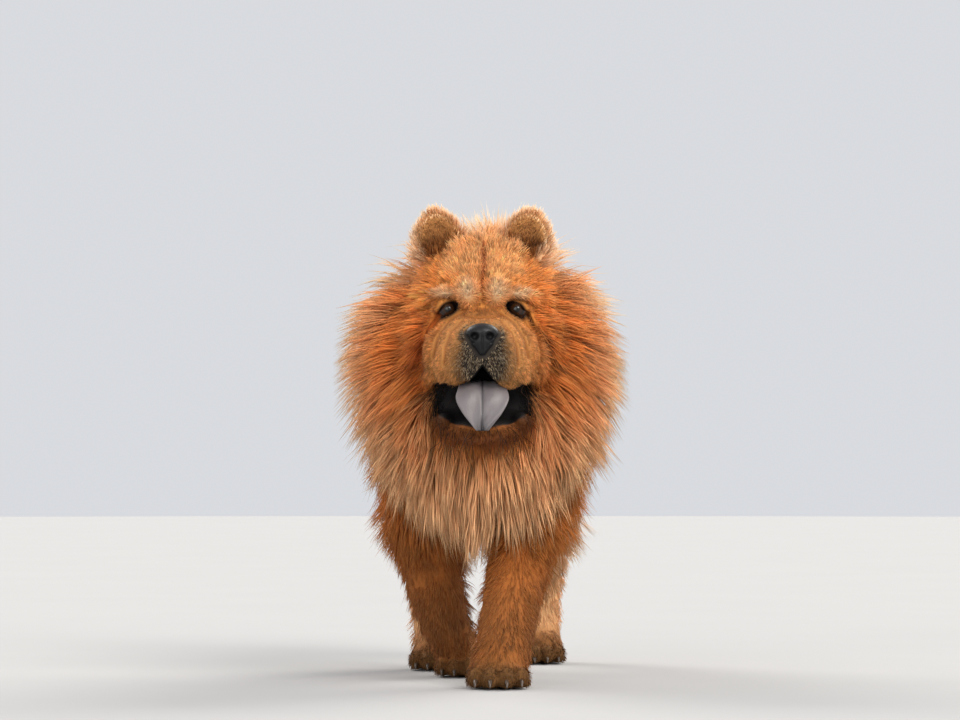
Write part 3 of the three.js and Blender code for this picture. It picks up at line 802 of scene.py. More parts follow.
def lip_amount(p):
    """Bare black skin in and around the mouth."""
    mouth, peak = mouth_field(p), peak_field(p)
    out = np.abs(p[:, 0])
    inner = ramp(-mouth, -3.5, -1.5) * ramp(p[:, 1], -356, -346)
    inner = np.maximum(inner, ramp(-peak, -3.2, -1.8))
    deep = ramp(-np.minimum(mouth, peak), -9, -6) * ramp(p[:, 1], -346, -334)
    inner = np.maximum(inner, deep * ramp(-out, -46, -38))
    for at in UPPER_LIPS:
        g = unit((p - at) / LIP_RADII**2)
        close = ramp(-np.abs(ball(p, at, LIP_RADII)), -5, -3)
        inner = np.maximum(inner, close * ramp(0.6 * g[:, 1] - g[:, 2], 0.74, 0.9))
    rise = 338 + 18 * np.clip(out / 55, 0, 1) ** 2
    on_jaw = ramp(-jaw_field(p), -3, -1) * ramp(p[:, 2] - rise, 0, 3)
    return np.clip(np.maximum(inner, on_jaw), 0, 1) * ramp(-p[:, 1], 238, 250)


# The coat: how long it is, which way it lies and how far it stands out

# For each part: length in millimetres, lift and droop of the hairs, and how densely they stand
# next to the other parts
COAT = {
    "head": (13, 0.42, 0.2, 330),
    "jaw": (15, 0.5, 0.2, 260),
    "ear": (17, 0.5, 0.2, 360),
    "mane": (86, 0.92, 0.5, 120),
    "chest": (80, 0.66, 0.5, 105),
    "trunk": (58, 0.62, 0.4, 62),
    "tail": (74, 0.74, 0.3, 110),
    "fore": (18, 0.42, 0.2, 105),
    "hind": (20, 0.42, 0.2, 105),
    "paw": (10, 0.42, 0.2, 280),
}
LENGTH, LIFT, DROOP, DENSITY = range(4)
STRANDS = 107000
# The skin's grid, and the fronts and half widths inside which its mesh is made finer
SKIN_PITCH = 5.6
SKIN_BOX = (-168, -440, -14), (168, 440, 650)
FINER = (-205, 106), (-282, 88)
FINER_ABOVE = 330


def rule(column, w):
    """A value of the coat's table, blended by how much each part owns a point."""
    total = 0.0
    for name, share in w.items():
        total = total + share * COAT[name.split("_")[0]][column]
    return total


def coat_length(p, w):
    """The table's length, changed by where on its part a hair grows."""
    x, y, z = mirrored(p).T
    length = rule(LENGTH, w)
    side = ramp(x, 52, 84) * ramp(y, -330, -280)
    length += w["head"] * (-7 * ramp(-y, 300, 345) + 28 * side + 12 * ramp(y, -262, -215))
    length += w["head"] * 18 * ramp(z, 548, 585) * ramp(y, -290, -255)
    length += w["head"] * 5 * ramp(-z, -416, -402) * ramp(-y, 318, 330)
    length -= w["ear"] * 9 * ramp(-ear_cup_depth(p), -4, 0)
    length += w["jaw"] * 14 * ramp(y, -330, -280)
    length -= w["mane"] * 20 * ramp(-y, 196, 232)
    length += w["chest"] * 26 * ramp(-z, -310, -230)
    length += (w["hind_l"] + w["hind_r"]) * ramp(z, 120, 230) * 36
    length += (w["fore_l"] + w["fore_r"]) * ramp(z, 150, 240) * 32
    for name, leg in LEGS.items():
        behind = ramp(y - np.interp(z, leg.centre[:, 2], leg.centre[:, 1]), 6, 30)
        reach = 20 if name.startswith("fore") else 14
        length += w[name] * behind * reach * ramp(z, 30, 90)
    near_eye = np.exp(-((almond_edge(p) / 8) ** 2)) * ramp(-y, 270, 290)
    in_crease = sum(np.exp(-((line_distance(p, line) / width) ** 2)) for line, width, _ in CREASES)
    shorter = np.clip(0.6 * near_eye + 0.5 * in_crease * ramp(-y, 275, 290), 0, 0.7)
    return length * (1 - shorter) * (1 - 0.55 * by_mouth(p)) * (1 - 0.6 * mouth_shade(p))


def by_mouth(p):
    """One at the edge of the open mouth, falling to nothing away from it."""
    gap = np.maximum(np.minimum(mouth_field(p), peak_field(p)), 0)
    behind_lips = np.maximum(ramp(p[:, 1], -352, -332), np.exp(-((gap / 4) ** 2)))
    return np.exp(-((gap / 15) ** 2)) * ramp(-p[:, 1], 240, 262) * ramp(p[:, 2], 338, 352) * behind_lips


def coat_flow(p, n, w):
    """The direction the coat lies in, along the skin."""
    x, none = p[:, 0], np.zeros(len(p))
    away = unit(p - np.array([0, -404, 466.0]))
    away[:, 2] -= 0.35 * ramp(np.abs(x), 45, 80)
    outward = 0.5 * np.sign(x) * ramp(np.abs(x), 30, 90)
    radial = unit(np.stack([x, none, p[:, 2] - 452], axis=1), 1)
    neck, tail = NECK.locate(p)[1], TAIL.locate(p)[1]
    ways = {
        "head": away,
        "jaw": np.array([0, 0.5, -0.9]),
        "ear": np.stack([outward, none, np.ones(len(p))], axis=1),
        "mane": 0.8 * NECK.flow(neck) + 0.8 * radial + np.array([0, 0, -0.25]),
        "chest": np.array([0, 0.05, -1.0]),
        "trunk": np.array([0, 1.0, -0.45]),
        "tail": TAIL.flow(tail),
    }
    for name in LEGS:
        ways[name] = np.array([0, 0.35 if name.startswith("fore") else 0.5, -1.0])
        ways["paw_" + name] = np.array([0, -0.9, -0.4])
    flow = sum(w[name][:, None] * way for name, way in ways.items())
    flow -= n * np.sum(flow * n, axis=1, keepdims=True)
    return unit(flow, 0.15)


def bare(p):
    """One where no coat grows: eyes, lips, nose, mouth and soles."""
    rim = ramp(-almond_edge(p), -2.8, -1.6) * ramp(-p[:, 1], 275, 285)
    nose = ramp(-nose_field(p), -2.5, -1.0)
    sole = ramp(-p[:, 2], -5, -3)
    lips = ramp(lip_amount(p), 0.45, 0.6)
    return np.clip(rim + nose + sole + lips, 0, 1)


def nose_field(p):
    """A broad pad with two nostrils, a slit beside each and a groove below."""
    f = ball(p, (0, -376, 461), (20.5, 15, 12.5))
    f = soft_min(f, ball(p, (0, -377, 451), (15, 13, 13)), 4)
    f = soft_min(f, ball(p, (0, -376, 441), (7, 10.5, 10)), 5)
    q = mirrored(p)
    f = soft_max(f, -ball(q, (10.6, -392, 456), (6.4, 13, 5.6), "Y", 0.35), 1.6)
    slit = ball(q, (16.5, -388, 450.5), (7.5, 10, 1.8), "Y", -0.4)
    f = soft_max(f, -slit, 1.2)
    groove = 1.8 * np.exp(-((p[:, 0] / 1.4) ** 2)) * ramp(-p[:, 2], -462, -454)
    return f + groove


# The unwrap of the skin, made of one chart for each part

CHARTS = {
    "head": (0.00, 0.00, 0.40, 0.40),
    "mane": (0.41, 0.00, 0.58, 0.40),
    "trunk": (0.00, 0.41, 0.60, 0.33),
    "tail": (0.61, 0.41, 0.38, 0.16),
    "ear_l": (0.61, 0.58, 0.09, 0.16),
    "ear_r": (0.71, 0.58, 0.09, 0.16),
    "paw_fore_l": (0.81, 0.58, 0.08, 0.08),
    "paw_fore_r": (0.90, 0.58, 0.08, 0.08),
    "paw_hind_l": (0.81, 0.66, 0.08, 0.08),
    "paw_hind_r": (0.90, 0.66, 0.08, 0.08),
    "fore_l": (0.00, 0.75, 0.24, 0.24),
    "fore_r": (0.25, 0.75, 0.24, 0.24),
    "hind_l": (0.50, 0.75, 0.24, 0.24),
    "hind_r": (0.75, 0.75, 0.24, 0.24),
}
CHART_NAMES = list(CHARTS)
CHART_TUBES = {"mane": NECK, "trunk": TORSO, "tail": TAIL, **LEGS}


def chart_of(p, w):
    """Which chart each point of the skin is on."""
    score = np.zeros((len(CHART_NAMES), len(p)))
    shares = dict(w)
    shares["head"] = w["head"] + w["jaw"]
    shares["trunk"] = w["trunk"] + w["chest"]
    shares["ear_l"] = np.where(p[:, 0] > 0, w["ear"], 0)
    shares["ear_r"] = np.where(p[:, 0] > 0, 0, w["ear"])
    for i, name in enumerate(CHART_NAMES):
        score[i] = shares[name]
    return np.argmax(score, axis=0)


def on_chart(name, p):
    """Places from 0 to 1 on one chart: round and along a tube, or out from a pole."""
    if name in CHART_TUBES:
        _, place, angle = CHART_TUBES[name].locate(p)
        return np.stack([angle / (2 * np.pi) + 0.5, 0.06 + 0.88 * place], axis=1)
    if name.startswith("ear"):
        q = mirrored(p) - np.array(EAR_AT, float)
        turn = np.arctan2(q[:, 1], q[:, 0]) / (2 * np.pi) + 0.5
        return np.stack([turn, np.clip(q[:, 2] / 110 + 0.5, 0, 1)], axis=1)
    if name == "head":
        q = p - np.array([0, -285, 462.0])
        polar = np.arctan2(np.hypot(q[:, 0], q[:, 2]), -q[:, 1]) / np.pi
        turn = np.arctan2(q[:, 2], q[:, 0])
    else:
        x, y, long, size = PAWS[name[4:]]
        q = p - np.array([x, y, 10.0])
        polar = np.arctan2(np.hypot(q[:, 0], q[:, 1]), q[:, 2]) / np.pi
        turn = np.arctan2(q[:, 1], q[:, 0])
    return np.stack([0.5 + 0.5 * polar * np.cos(turn), 0.5 + 0.5 * polar * np.sin(turn)], axis=1)


def unwrap(p, chart):
    """The place of each point on the unwrap of the skin."""
    out = np.zeros((len(p), 2))
    for i, name in enumerate(CHART_NAMES):
        on = chart == i
        if on.any():
            left, low, wide, tall = CHARTS[name]
            out[on] = np.array([left, low]) + on_chart(name, p[on]) * np.array([wide, tall])
    return out


# Materials


def material(name):
    """A node material with its shader."""
    m = bpy.data.materials.new(name)
    m.use_nodes = True
    return m, m.node_tree.nodes, m.node_tree.links, m.node_tree.nodes["Principled BSDF"]


def bump_from(nodes, links, shader, height, strength, distance):
    bump = nodes.new("ShaderNodeBump")
    bump.inputs["Strength"].default_value = strength
    bump.inputs["Distance"].default_value = distance
    links.new(height, bump.inputs["Height"])
    links.new(bump.outputs["Normal"], shader.inputs["Normal"])


def set_on(node, values):
    for name, value in values.items():
        node.inputs[name].default_value = value


def noise_at(nodes, links, scale, detail=4.0, stretch=(1, 1, 1)):
    """Fine noise that keeps its place on the object."""
    where = nodes.new("ShaderNodeTexCoord").outputs["Object"]
    noise = nodes.new("ShaderNodeTexNoise")
    set_on(noise, {"Scale": scale, "Detail": detail, "Roughness": 0.6})
    if stretch != (1, 1, 1):
        mapping = nodes.new("ShaderNodeMapping")
        mapping.inputs["Scale"].default_value = stretch
        links.new(where, mapping.inputs["Vector"])
        where = mapping.outputs["Vector"]
    links.new(where, noise.inputs["Vector"])
    return noise.outputs["Fac"]


def cells_at(nodes, links, scale):
    """The height of small round cells."""
    cells = nodes.new("ShaderNodeTexVoronoi")
    cells.inputs["Scale"].default_value = scale
    links.new(nodes.new("ShaderNodeTexCoord").outputs["Object"], cells.inputs["Vector"])
    return cells.outputs["Distance"]


def between(nodes, links, factor, first, second):
    """A colour between two others, by a factor from 0 to 1."""
    node = nodes.new("ShaderNodeValToRGB")
    for element, colour in zip(node.color_ramp.elements, (first, second)):
        element.color = (*colour, 1)
    links.new(factor, node.inputs["Fac"])
    return node.outputs["Color"]


def painted(nodes):
    """The colour painted on the vertices."""
    paint = nodes.new("ShaderNodeVertexColor")
    paint.layer_name = "coat"
    return paint.outputs["Color"]


def shaded(nodes, links, colour, factor, low, high):
    """A colour made darker and lighter by a factor from 0 to 1."""
    scale = nodes.new("ShaderNodeMapRange")
    scale.inputs["To Min"].default_value = low
    scale.inputs["To Max"].default_value = high
    links.new(factor, scale.inputs["Value"])
    mix = nodes.new("ShaderNodeVectorMath")
    mix.operation = "SCALE"
    links.new(colour, mix.inputs[0])
    links.new(scale.outputs["Result"], mix.inputs["Scale"])
    return mix.outputs["Vector"]


def coat_material():
    """Hair that lets some light through."""
    m, nodes, links, shader = material("coat")
    colour = shaded(nodes, links, painted(nodes), noise_at(nodes, links, 60), 0.86, 1.14)
    links.new(colour, shader.inputs["Base Color"])
    set_on(shader, {"Roughness": 0.62, "Specular IOR Level": 0.14, "Sheen Weight": 0.08})
    set_on(shader, {"Sheen Roughness": 0.4, "Sheen Tint": (1.0, 0.84, 0.66, 1)})
    through = nodes.new("ShaderNodeBsdfTranslucent")
    links.new(colour, through.inputs["Color"])
    mix = nodes.new("ShaderNodeMixShader")
    mix.inputs["Fac"].default_value = 0.38
    links.new(shader.outputs["BSDF"], mix.inputs[1])
    links.new(through.outputs["BSDF"], mix.inputs[2])
    links.new(mix.outputs["Shader"], nodes["Material Output"].inputs["Surface"])
    return m


def skin_material():
    """Rough skin under the coat, and smoother wet skin where the paint is nearly black."""
    m, nodes, links, shader = material("skin")
    fine = noise_at(nodes, links, 420, 5)
    paint = painted(nodes)
    links.new(shaded(nodes, links, paint, fine, 0.75, 1.2), shader.inputs["Base Color"])
    bright = nodes.new("ShaderNodeMapRange")
    set_on(bright, {"From Min": 0.01, "From Max": 0.06, "To Min": 0.62, "To Max": 0.85})
    grey = nodes.new("ShaderNodeRGBToBW")
    links.new(paint, grey.inputs["Color"])
    links.new(grey.outputs["Val"], bright.inputs["Value"])
    links.new(bright.outputs["Result"], shader.inputs["Roughness"])
    shader.inputs["Specular IOR Level"].default_value = 0.1
    bump_from(nodes, links, shader, fine, 0.6, 0.0010)
    return m


def nose_material():
    m, nodes, links, shader = material("nose leather")
    cells = cells_at(nodes, links, 620)
    colour = between(nodes, links, cells, (0.012, 0.012, 0.014), (0.004, 0.004, 0.0045))
    links.new(colour, shader.inputs["Base Color"])
    set_on(shader, {"Roughness": 0.42, "Specular IOR Level": 0.2})
    set_on(shader, {"Coat Weight": 0.05, "Coat Roughness": 0.25})
    bump_from(nodes, links, shader, cells, 0.5, 0.0005)
    return m


def eye_material():
    m, nodes, links, shader = material("eye")
    fibres = noise_at(nodes, links, 900, 3)
    links.new(shaded(nodes, links, painted(nodes), fibres, 0.6, 1.4), shader.inputs["Base Color"])
    set_on(shader, {"Roughness": 0.3, "Specular IOR Level": 0.1})
    set_on(shader, {"Coat Weight": 0.55, "Coat Roughness": 0.03})
    return m


def tongue_material():
    m, nodes, links, shader = material("tongue")
    fine = noise_at(nodes, links, 700, 3)
    links.new(shaded(nodes, links, painted(nodes), fine, 0.85, 1.12), shader.inputs["Base Color"])
    set_on(shader, {"Roughness": 0.42, "Subsurface Weight": 0.15})
    shader.inputs["Subsurface Radius"].default_value = (0.004, 0.002, 0.002)
    bump_from(nodes, links, shader, cells_at(nodes, links, 700), 0.4, 0.0004)
    return m


def claw_material():
    m, nodes, links, shader = material("claw")
    streak = noise_at(nodes, links, 260, 3, (1, 0.25, 1))
    colour = between(nodes, links, streak, (0.020, 0.014, 0.010), (0.085, 0.055, 0.038))
    links.new(colour, shader.inputs["Base Color"])
    shader.inputs["Roughness"].default_value = 0.4
    bump_from(nodes, links, shader, streak, 0.3, 0.0004)
    return m


def paint(piece, colours):
    """One colour for each vertex."""
    layer = piece.data.color_attributes.new("coat", "FLOAT_COLOR", "POINT")
    rgba = np.ones((len(colours), 4), np.float32)
    rgba[:, :3] = np.clip(colours, 0.002, 1)
    layer.data.foreach_set("color", rgba.ravel())


# The pieces


def make_skin(finish):
    """The whole skin as one closed mesh, finer on the head."""
    values, start = sample(skin_field, *SKIN_BOX, SKIN_PITCH)
    points, quads = surface_net(values, start, SKIN_PITCH)
    mesh = bmesh.new()
    verts = [mesh.verts.new(v) for v in points]
    for quad in quads:
        mesh.faces.new([verts[i] for i in quad])
    mesh.normal_update()
    for front, wide in FINER:
        inner = set()
        for v in mesh.verts:
            if v.co.y < front and v.co.z > FINER_ABOVE and abs(v.co.x) < wide:
                inner.add(v)
        near = [edge for edge in mesh.edges if inner.issuperset(edge.verts)]
        bmesh.ops.subdivide_edges(mesh, edges=near, cuts=1, use_grid_fill=True)
    bmesh.ops.triangulate(mesh, faces=[f for f in mesh.faces if len(f.verts) > 4])
    mesh.verts.index_update()
    points = np.array([v.co for v in mesh.verts])
    faces = [[v.index for v in f.verts] for f in mesh.faces]
    mesh.free()
    head = np.flatnonzero((points[:, 1] < -200) & (points[:, 2] > 325))
    points[head] = settle(skin_field, points[head], 2)
    points[:, 2] = np.maximum(points[:, 2], 0.6)
    piece = add_piece("skin", points, faces)
    w = part_weights(points)
    root, tip = markings(points, w)
    # The skin is painted darker than the coat, most on the head: painted shade, as deep inside the coat
    coat_shade_on_skin = 0.8 - 0.16 * w["head"][:, None]
    paint(piece, mixed(root, tip, np.full(len(points), 0.35)) * coat_shade_on_skin)
    bake_skin(piece, points, w)
    piece.data.materials.append(finish)
    flesh = ["head", "jaw", "ear_left", "ear_right", "neck", "torso", "tail_base", "tail_tip"]
    for side in ("left", "right"):
        flesh += [f"foreleg_{side}_upper", f"foreleg_{side}_lower"]
        flesh += [f"hindleg_{side}_upper", f"hindleg_{side}_lower"]
        flesh += [f"forepaw_{side}", f"hindpaw_{side}"]
    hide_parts(*flesh)
    return piece, points, w


def average(w, ids, share=None):
    """The part weights of faces, or of places on them, from those of their corners."""
    if share is None:
        return {name: v[ids].mean(axis=1) for name, v in w.items()}
    return {name: np.sum(v[ids] * share, axis=1) for name, v in w.items()}


def bake_skin(piece, points, w):
    """The skin's own unwrap, each face on one chart."""
    mesh = piece.data
    count = len(mesh.loops)
    vertex = np.zeros(count, int)
    mesh.loops.foreach_get("vertex_index", vertex)
    face = np.repeat(np.arange(len(mesh.polygons)), [p.loop_total for p in mesh.polygons])
    middle = np.zeros((len(mesh.polygons), 3))
    np.add.at(middle, face, points[vertex])
    sizes = np.bincount(face)
    middle /= sizes[:, None]
    shares = {name: np.bincount(face, v[vertex]) / sizes for name, v in w.items()}
    chart = chart_of(middle, shares)
    centre = unwrap(middle, chart)[face]
    uv = unwrap(points[vertex], chart[face])
    wide = np.array([CHARTS[name][2] for name in CHART_NAMES])[chart[face]]
    over = np.abs(uv[:, 0] - centre[:, 0]) > wide / 2
    uv[:, 0] = np.where(over, centre[:, 0], uv[:, 0])
    layer = mesh.uv_layers.new(name="OFBake")
    layer.data.foreach_set("uv", uv.astype(np.float32).ravel())


def roots_on(piece, points, w):
    """Places, normals and part weights of the coat's roots, spread by area and density."""
    mesh = piece.data
    mesh.calc_loop_triangles()
    count = len(mesh.loop_triangles)
    tri = np.zeros(count * 3, int)
    mesh.loop_triangles.foreach_get("vertices", tri)
    tri = tri.reshape(-1, 3)
    normal = np.zeros(len(points) * 3)
    mesh.vertices.foreach_get("normal", normal)
    normal = normal.reshape(-1, 3)
    corners = points[tri]
    across = np.cross(corners[:, 1] - corners[:, 0], corners[:, 2] - corners[:, 0])
    area = np.linalg.norm(across, axis=1) / 2
    naked = bare(points)
    dense = rule(DENSITY, average(w, tri)) * (1 - naked[tri].mean(axis=1))
    middle = corners.mean(axis=1)
    dense = dense * (1 + 1.3 * ramp(-middle[:, 1], 285, 325) * ramp(middle[:, 2], 370, 390))
    dense = dense * (1 + 2.0 * speckle(middle))
    total = np.cumsum(area * dense)
    want = (np.arange(STRANDS) + RNG.random(STRANDS)) / STRANDS * total[-1]
    pick = np.searchsorted(total, want)
    a, b = RNG.random((2, STRANDS))
    over = a + b > 1
    a, b = np.where(over, 1 - a, a), np.where(over, 1 - b, b)
    share = np.stack([1 - a - b, a, b], axis=1)[:, :, None]
    at = np.sum(corners[pick] * share, axis=1)
    n = np.sum(normal[tri[pick]] * share, axis=1)
    n = unit(n, 1e-6)
    keep = np.sum(naked[tri[pick]] * share[:, :, 0], axis=1) < 0.5
    owned = average(w, tri[pick[keep]], share[keep, :, 0])
    return at[keep], n[keep], owned


def nearest(points, guides):
    """For each point, which guide is nearest."""
    tree = KDTree(len(guides))
    for i, g in enumerate(guides):
        tree.insert(g, i)
    tree.balance()
    return np.array([tree.find(p)[1] for p in points])


ROOT_DEPTH = 1.5
DOWN = np.array([0, 0, -1.0])


def paths(at, n, flow, length, lift, droop, steps):
    """The line of each strand as points from a root in the skin to its tip."""
    places = np.linspace(0, 1, steps + 1)
    p = at - n * ROOT_DEPTH
    line = [p]
    for s0, s1 in zip(places[:-1], places[1:]):
        s = (s0 + s1) / 2
        rise = (lift * (1.15 - 0.5 * s))[:, None]
        d = unit(flow * np.cos(rise) + n * np.sin(rise) + DOWN * (droop * s)[:, None])
        p = p + d * (length * (s1 - s0))[:, None]
        line.append(p)
    return np.stack(line, axis=1)


# A strand's width from root to tip, its height for its width, and on the unwrap half the width
# and the whole length of its patch
STRAND_PROFILE = [0, 0.35, 0.75, 1], [0.75, 1.0, 0.62, 0.2]
STRAND_HEIGHT = 0.42
PATCH_WIDE = 0.0013
PATCH_LONG = 0.003


def ring_faces(rings, sides, first=0):
    """The faces between a tube's rings of vertices."""
    faces = []
    for i in range(first, first + rings * sides, sides):
        for k in range(sides):
            m = (k + 1) % sides
            faces.append([i + k, i + m, i + sides + m, i + sides + k])
    return faces


def strand_faces(rings):
    """The faces of one strand: its closed root, its sides and its point."""
    last = 3 * (rings - 1)
    point = [[last + k, last + (k + 1) % 3, last + 3] for k in range(3)]
    return [[2, 1, 0]] + ring_faces(rings - 1, 3) + point


def strand_points(line, n, width):
    """Three-sided rings along each line, and its last point, all above the floor."""
    count, rings = line.shape[0], line.shape[1] - 1
    along = unit(np.gradient(line, axis=1), 1e-6)
    side = unit(np.cross(along, n[:, None, :]), 1e-6)
    up = np.cross(side, along)
    twist = RNG.uniform(-0.7, 0.7, count)[:, None, None]
    across = (side * np.cos(twist) + up * np.sin(twist))[:, :rings]
    above = (up * np.cos(twist) - side * np.sin(twist))[:, :rings]
    w = width[:, None, None] * np.interp(np.arange(rings) / rings, *STRAND_PROFILE)[None, :, None]
    ring = line[:, :rings]
    sides = [ring + across * w * 0.5, ring - across * w * 0.5, ring + above * w * STRAND_HEIGHT]
    body = np.stack(sides, axis=2).reshape(count, rings * 3, 3)
    points = np.concatenate([body, line[:, rings:]], axis=1)
    points[:, :, 2] = np.maximum(points[:, :, 2], 0.7)
    return points


def make_strands(name, line, n, width, root, tip, uv, finish, slot):
    """Closed three-sided strands along the given lines."""
    points = strand_points(line, n, width)
    count, size = points.shape[:2]
    rings = line.shape[1] - 1
    faces = strand_faces(rings)
    pattern = np.array([i for f in faces for i in f])
    loops = (np.arange(count)[:, None] * size + pattern[None]).ravel()
    totals = np.tile([len(f) for f in faces], count)
    starts = np.concatenate([[0], np.cumsum(totals)[:-1]])
    mesh = bpy.data.meshes.new(name)
    mesh.vertices.add(count * size)
    mesh.vertices.foreach_set("co", to_frame(points.reshape(-1, 3)).astype(np.float32).ravel())
    mesh.loops.add(len(loops))
    mesh.loops.foreach_set("vertex_index", loops.astype(np.int32))
    mesh.polygons.add(len(totals))
    mesh.polygons.foreach_set("loop_start", starts.astype(np.int32))
    mesh.polygons.foreach_set("loop_total", totals.astype(np.int32))
    mesh.update(calc_edges=True)
    mesh.shade_smooth()
    place = np.concatenate([np.repeat(np.arange(rings) / rings, 3), [1.0]])
    wide = np.tile([-PATCH_WIDE, PATCH_WIDE, 0.0], rings + 1)[:size]
    patch = np.stack([wide, PATCH_LONG * (place - 0.5)], axis=1)
    spots = (uv[:, None, :] + patch[None]).reshape(-1, 2)
    layer = mesh.uv_layers.new(name="OFBake")
    layer.data.foreach_set("uv", spots[loops].astype(np.float32).ravel())
    piece = bpy.data.objects.new(name, mesh)
    bpy.context.collection.objects.link(piece)
    blend = place[None, :, None] ** 0.9
    colours = root[:, None, :] * (1 - blend) + tip[:, None, :] * blend
    paint(piece, colours.reshape(-1, 3))
    mesh.materials.append(finish)
    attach(piece, "root")
    return piece


MOST_HALF_WIDTH = 200
STRAY_SHARE = 0.25


def lock_lines(at, n, w):
    """The strands' lines, their length, and the small lock that each belongs to."""
    count = len(at)
    length = coat_length(at, w) * RNG.uniform(0.72, 1.12, count)
    flow = coat_flow(at, n, w)
    lift = rule(LIFT, w) + 0.15 * w["head"] * ramp(-at[:, 1], 296, 330)
    lift = lift + 0.12 * w["head"] * ramp(at[:, 2], 545, 585)
    droop = rule(DROOP, w)

    # Strands share the turn of a big and a small lock, apart from the strays
    big = nearest(at, at[RNG.choice(count, max(60, count // 60), replace=False)])
    guides = RNG.choice(count, count // 9, replace=False)
    small = nearest(at, at[guides])
    turn = RNG.normal(0, 0.22, (big.max() + 1, 3))[big]
    turn = turn + RNG.normal(0, 0.12, (small.max() + 1, 3))[small] + RNG.normal(0, 0.07, (count, 3))
    long_coat = np.clip(length / 30, 0.3, 1)
    flow = flow + turn * long_coat[:, None]
    lift = lift + RNG.normal(0, 0.14, big.max() + 1)[big] * long_coat
    stray = RNG.random(count) < STRAY_SHARE
    length = length * np.where(stray, 1.08, 1.0)
    lift = lift + stray * RNG.uniform(0, 0.25, count)
    line = paths(at, n, flow, length, lift, droop, 3)
    over = np.abs(line[:, -1, 0]) - MOST_HALF_WIDTH
    length = length * np.clip(1 - 1.2 * np.maximum(over, 0) / length, 0.35, 1)
    line = paths(at, n, flow, length, lift, droop, 3)

    # The strands of a small lock lean together at the tip
    guide_line = line[guides][small]
    pull = 0.45 * np.clip(length / 30, 0.25, 1) * (~stray)
    s = np.linspace(0, 1, 4)[None, :, None] ** 1.5
    lean = (guide_line[:, -1:] - line[:, -1:]) - 0.25 * (guide_line[:, :1] - line[:, :1])
    reach = np.linalg.norm(lean, axis=2, keepdims=True)
    lean = lean * np.minimum(1, 0.45 * length[:, None, None] / np.maximum(reach, 1e-6))
    return line + lean * s * pull[:, None, None], length, small


def strand_colours(at, w, small):
    """The markings, uneven from lock to lock, with black and pale hairs mixed in."""
    root, tip = markings(at, w)
    head = w["head"]
    locks = small.max() + 1
    shade = 1 + RNG.normal(0, 0.13, locks)[small] + RNG.normal(0, 0.10, len(at)) * (1 + head)
    shade = shade[:, None]
    patchy = 1 + head[:, None] * RNG.normal(0, 0.17, locks)[small][:, None]
    root, tip = root * shade * patchy, tip * (0.5 + 0.5 * shade) * patchy
    mixed_in = speckle(at) * (RNG.random(len(at)) < 0.8)
    kinds = np.stack([INK * 2, GREY, CREAM * 0.75])[RNG.choice(3, len(at), p=[0.54, 0.2, 0.26])]
    return mixed(root, kinds * 0.6, mixed_in), mixed(tip, kinds, mixed_in)


def coat_groups(w, short):
    """Which strands belong to each region of the coat."""
    face = w["head"] + w["jaw"] + w["ear"]
    groups = {
        "coat_face": short & (face > 0.5),
        "coat_limbs_short": short & (face <= 0.5),
        "coat_mane": ~short & ((w["mane"] + w["head"] + w["jaw"] + w["ear"]) > 0.5),
        "coat_chest": ~short & (w["chest"] > 0.5),
        "coat_tail": ~short & (w["tail"] > 0.5),
    }
    groups["coat_body"] = ~np.any(list(groups.values()), axis=0)
    return groups


COAT_SLOTS = {"coat_tail": "cream_coat", "coat_mane": "golden_coat", "coat_face": "face_coat"}
SHORT_COAT = 24
# The most strands in a piece, by their number of rings
MOST_STRANDS = {2: 17500, 3: 11800}


def make_coat(skin, skin_points, skin_weights, finish):
    """The whole coat, cut into regions and into pieces under the limit for triangles."""
    at, n, w = roots_on(skin, skin_points, skin_weights)
    line, length, small = lock_lines(at, n, w)
    root, tip = strand_colours(at, w, small)
    uv = unwrap(at, chart_of(at, w))
    width = 0.72 + 0.010 * length - 0.12 * w["head"]
    width = width * 1.0 * RNG.uniform(0.7, 1.25, len(at))
    for name, on in coat_groups(w, length < SHORT_COAT).items():
        short = name in ("coat_face", "coat_limbs_short")
        at_rings = [0, 2, 3] if short else [0, 1, 2, 3]
        chunk = MOST_STRANDS[len(at_rings) - 1]
        ids = np.flatnonzero(on)
        slot = COAT_SLOTS.get(name, "red_coat")
        for part, k in enumerate(range(0, len(ids), chunk)):
            i = ids[k : k + chunk]
            kept = line[i][:, at_rings]
            label = f"{name}_{part + 1}"
            make_strands(label, kept, n[i], width[i], root[i], tip[i], uv[i], finish, slot)


WISPS = 64
WISP_WIDTH = 0.75


def make_wisps(skin_points, skin_weights, finish):
    """Dark, curling hairs under the corners of the mouth and the chin."""
    x, y, z = skin_points.T
    gap = mouth_field(skin_points)
    near = (gap > 2) & (gap < 26) & (z < 398) & (z > 322) & (y < -270) & (np.abs(x) < 84)
    ids = np.flatnonzero(near)
    ids = RNG.choice(ids, min(WISPS, len(ids)), replace=False)
    at = skin_points[ids]
    count = len(at)
    s = np.linspace(0, 1, 10)
    length = RNG.uniform(14, 56, count)
    sideways = 0.5 * np.sign(at[:, 0]) * RNG.random(count)
    forward = -0.55 - 0.3 * RNG.random(count)
    way = unit(np.stack([sideways, forward, -RNG.uniform(0.5, 1.1, count)], axis=1))
    across = np.cross(way, [0, 1, 0])
    turns = RNG.uniform(2, 7, count)[:, None]
    phase = RNG.uniform(0, 6.3, count)[:, None]
    sway = (np.sin(phase + turns * s) - np.sin(phase)) * (2.0 + 4.5 * s)
    line = at[:, None] + way[:, None] * (length[:, None] * s)[:, :, None]
    line = line + across[:, None] * sway[:, :, None]
    line[:, :, 2] -= 6 * s**2
    n = all_over((0, -1, 0), at)
    dark = all_over(DUSK * 0.35, at)
    uv = unwrap(at, chart_of(at, {name: v[ids] for name, v in skin_weights.items()}))
    width = np.full(count, WISP_WIDTH)
    make_strands("coat_wisps", line, n, width, dark, dark * 1.6, uv, finish, "dark_skin")


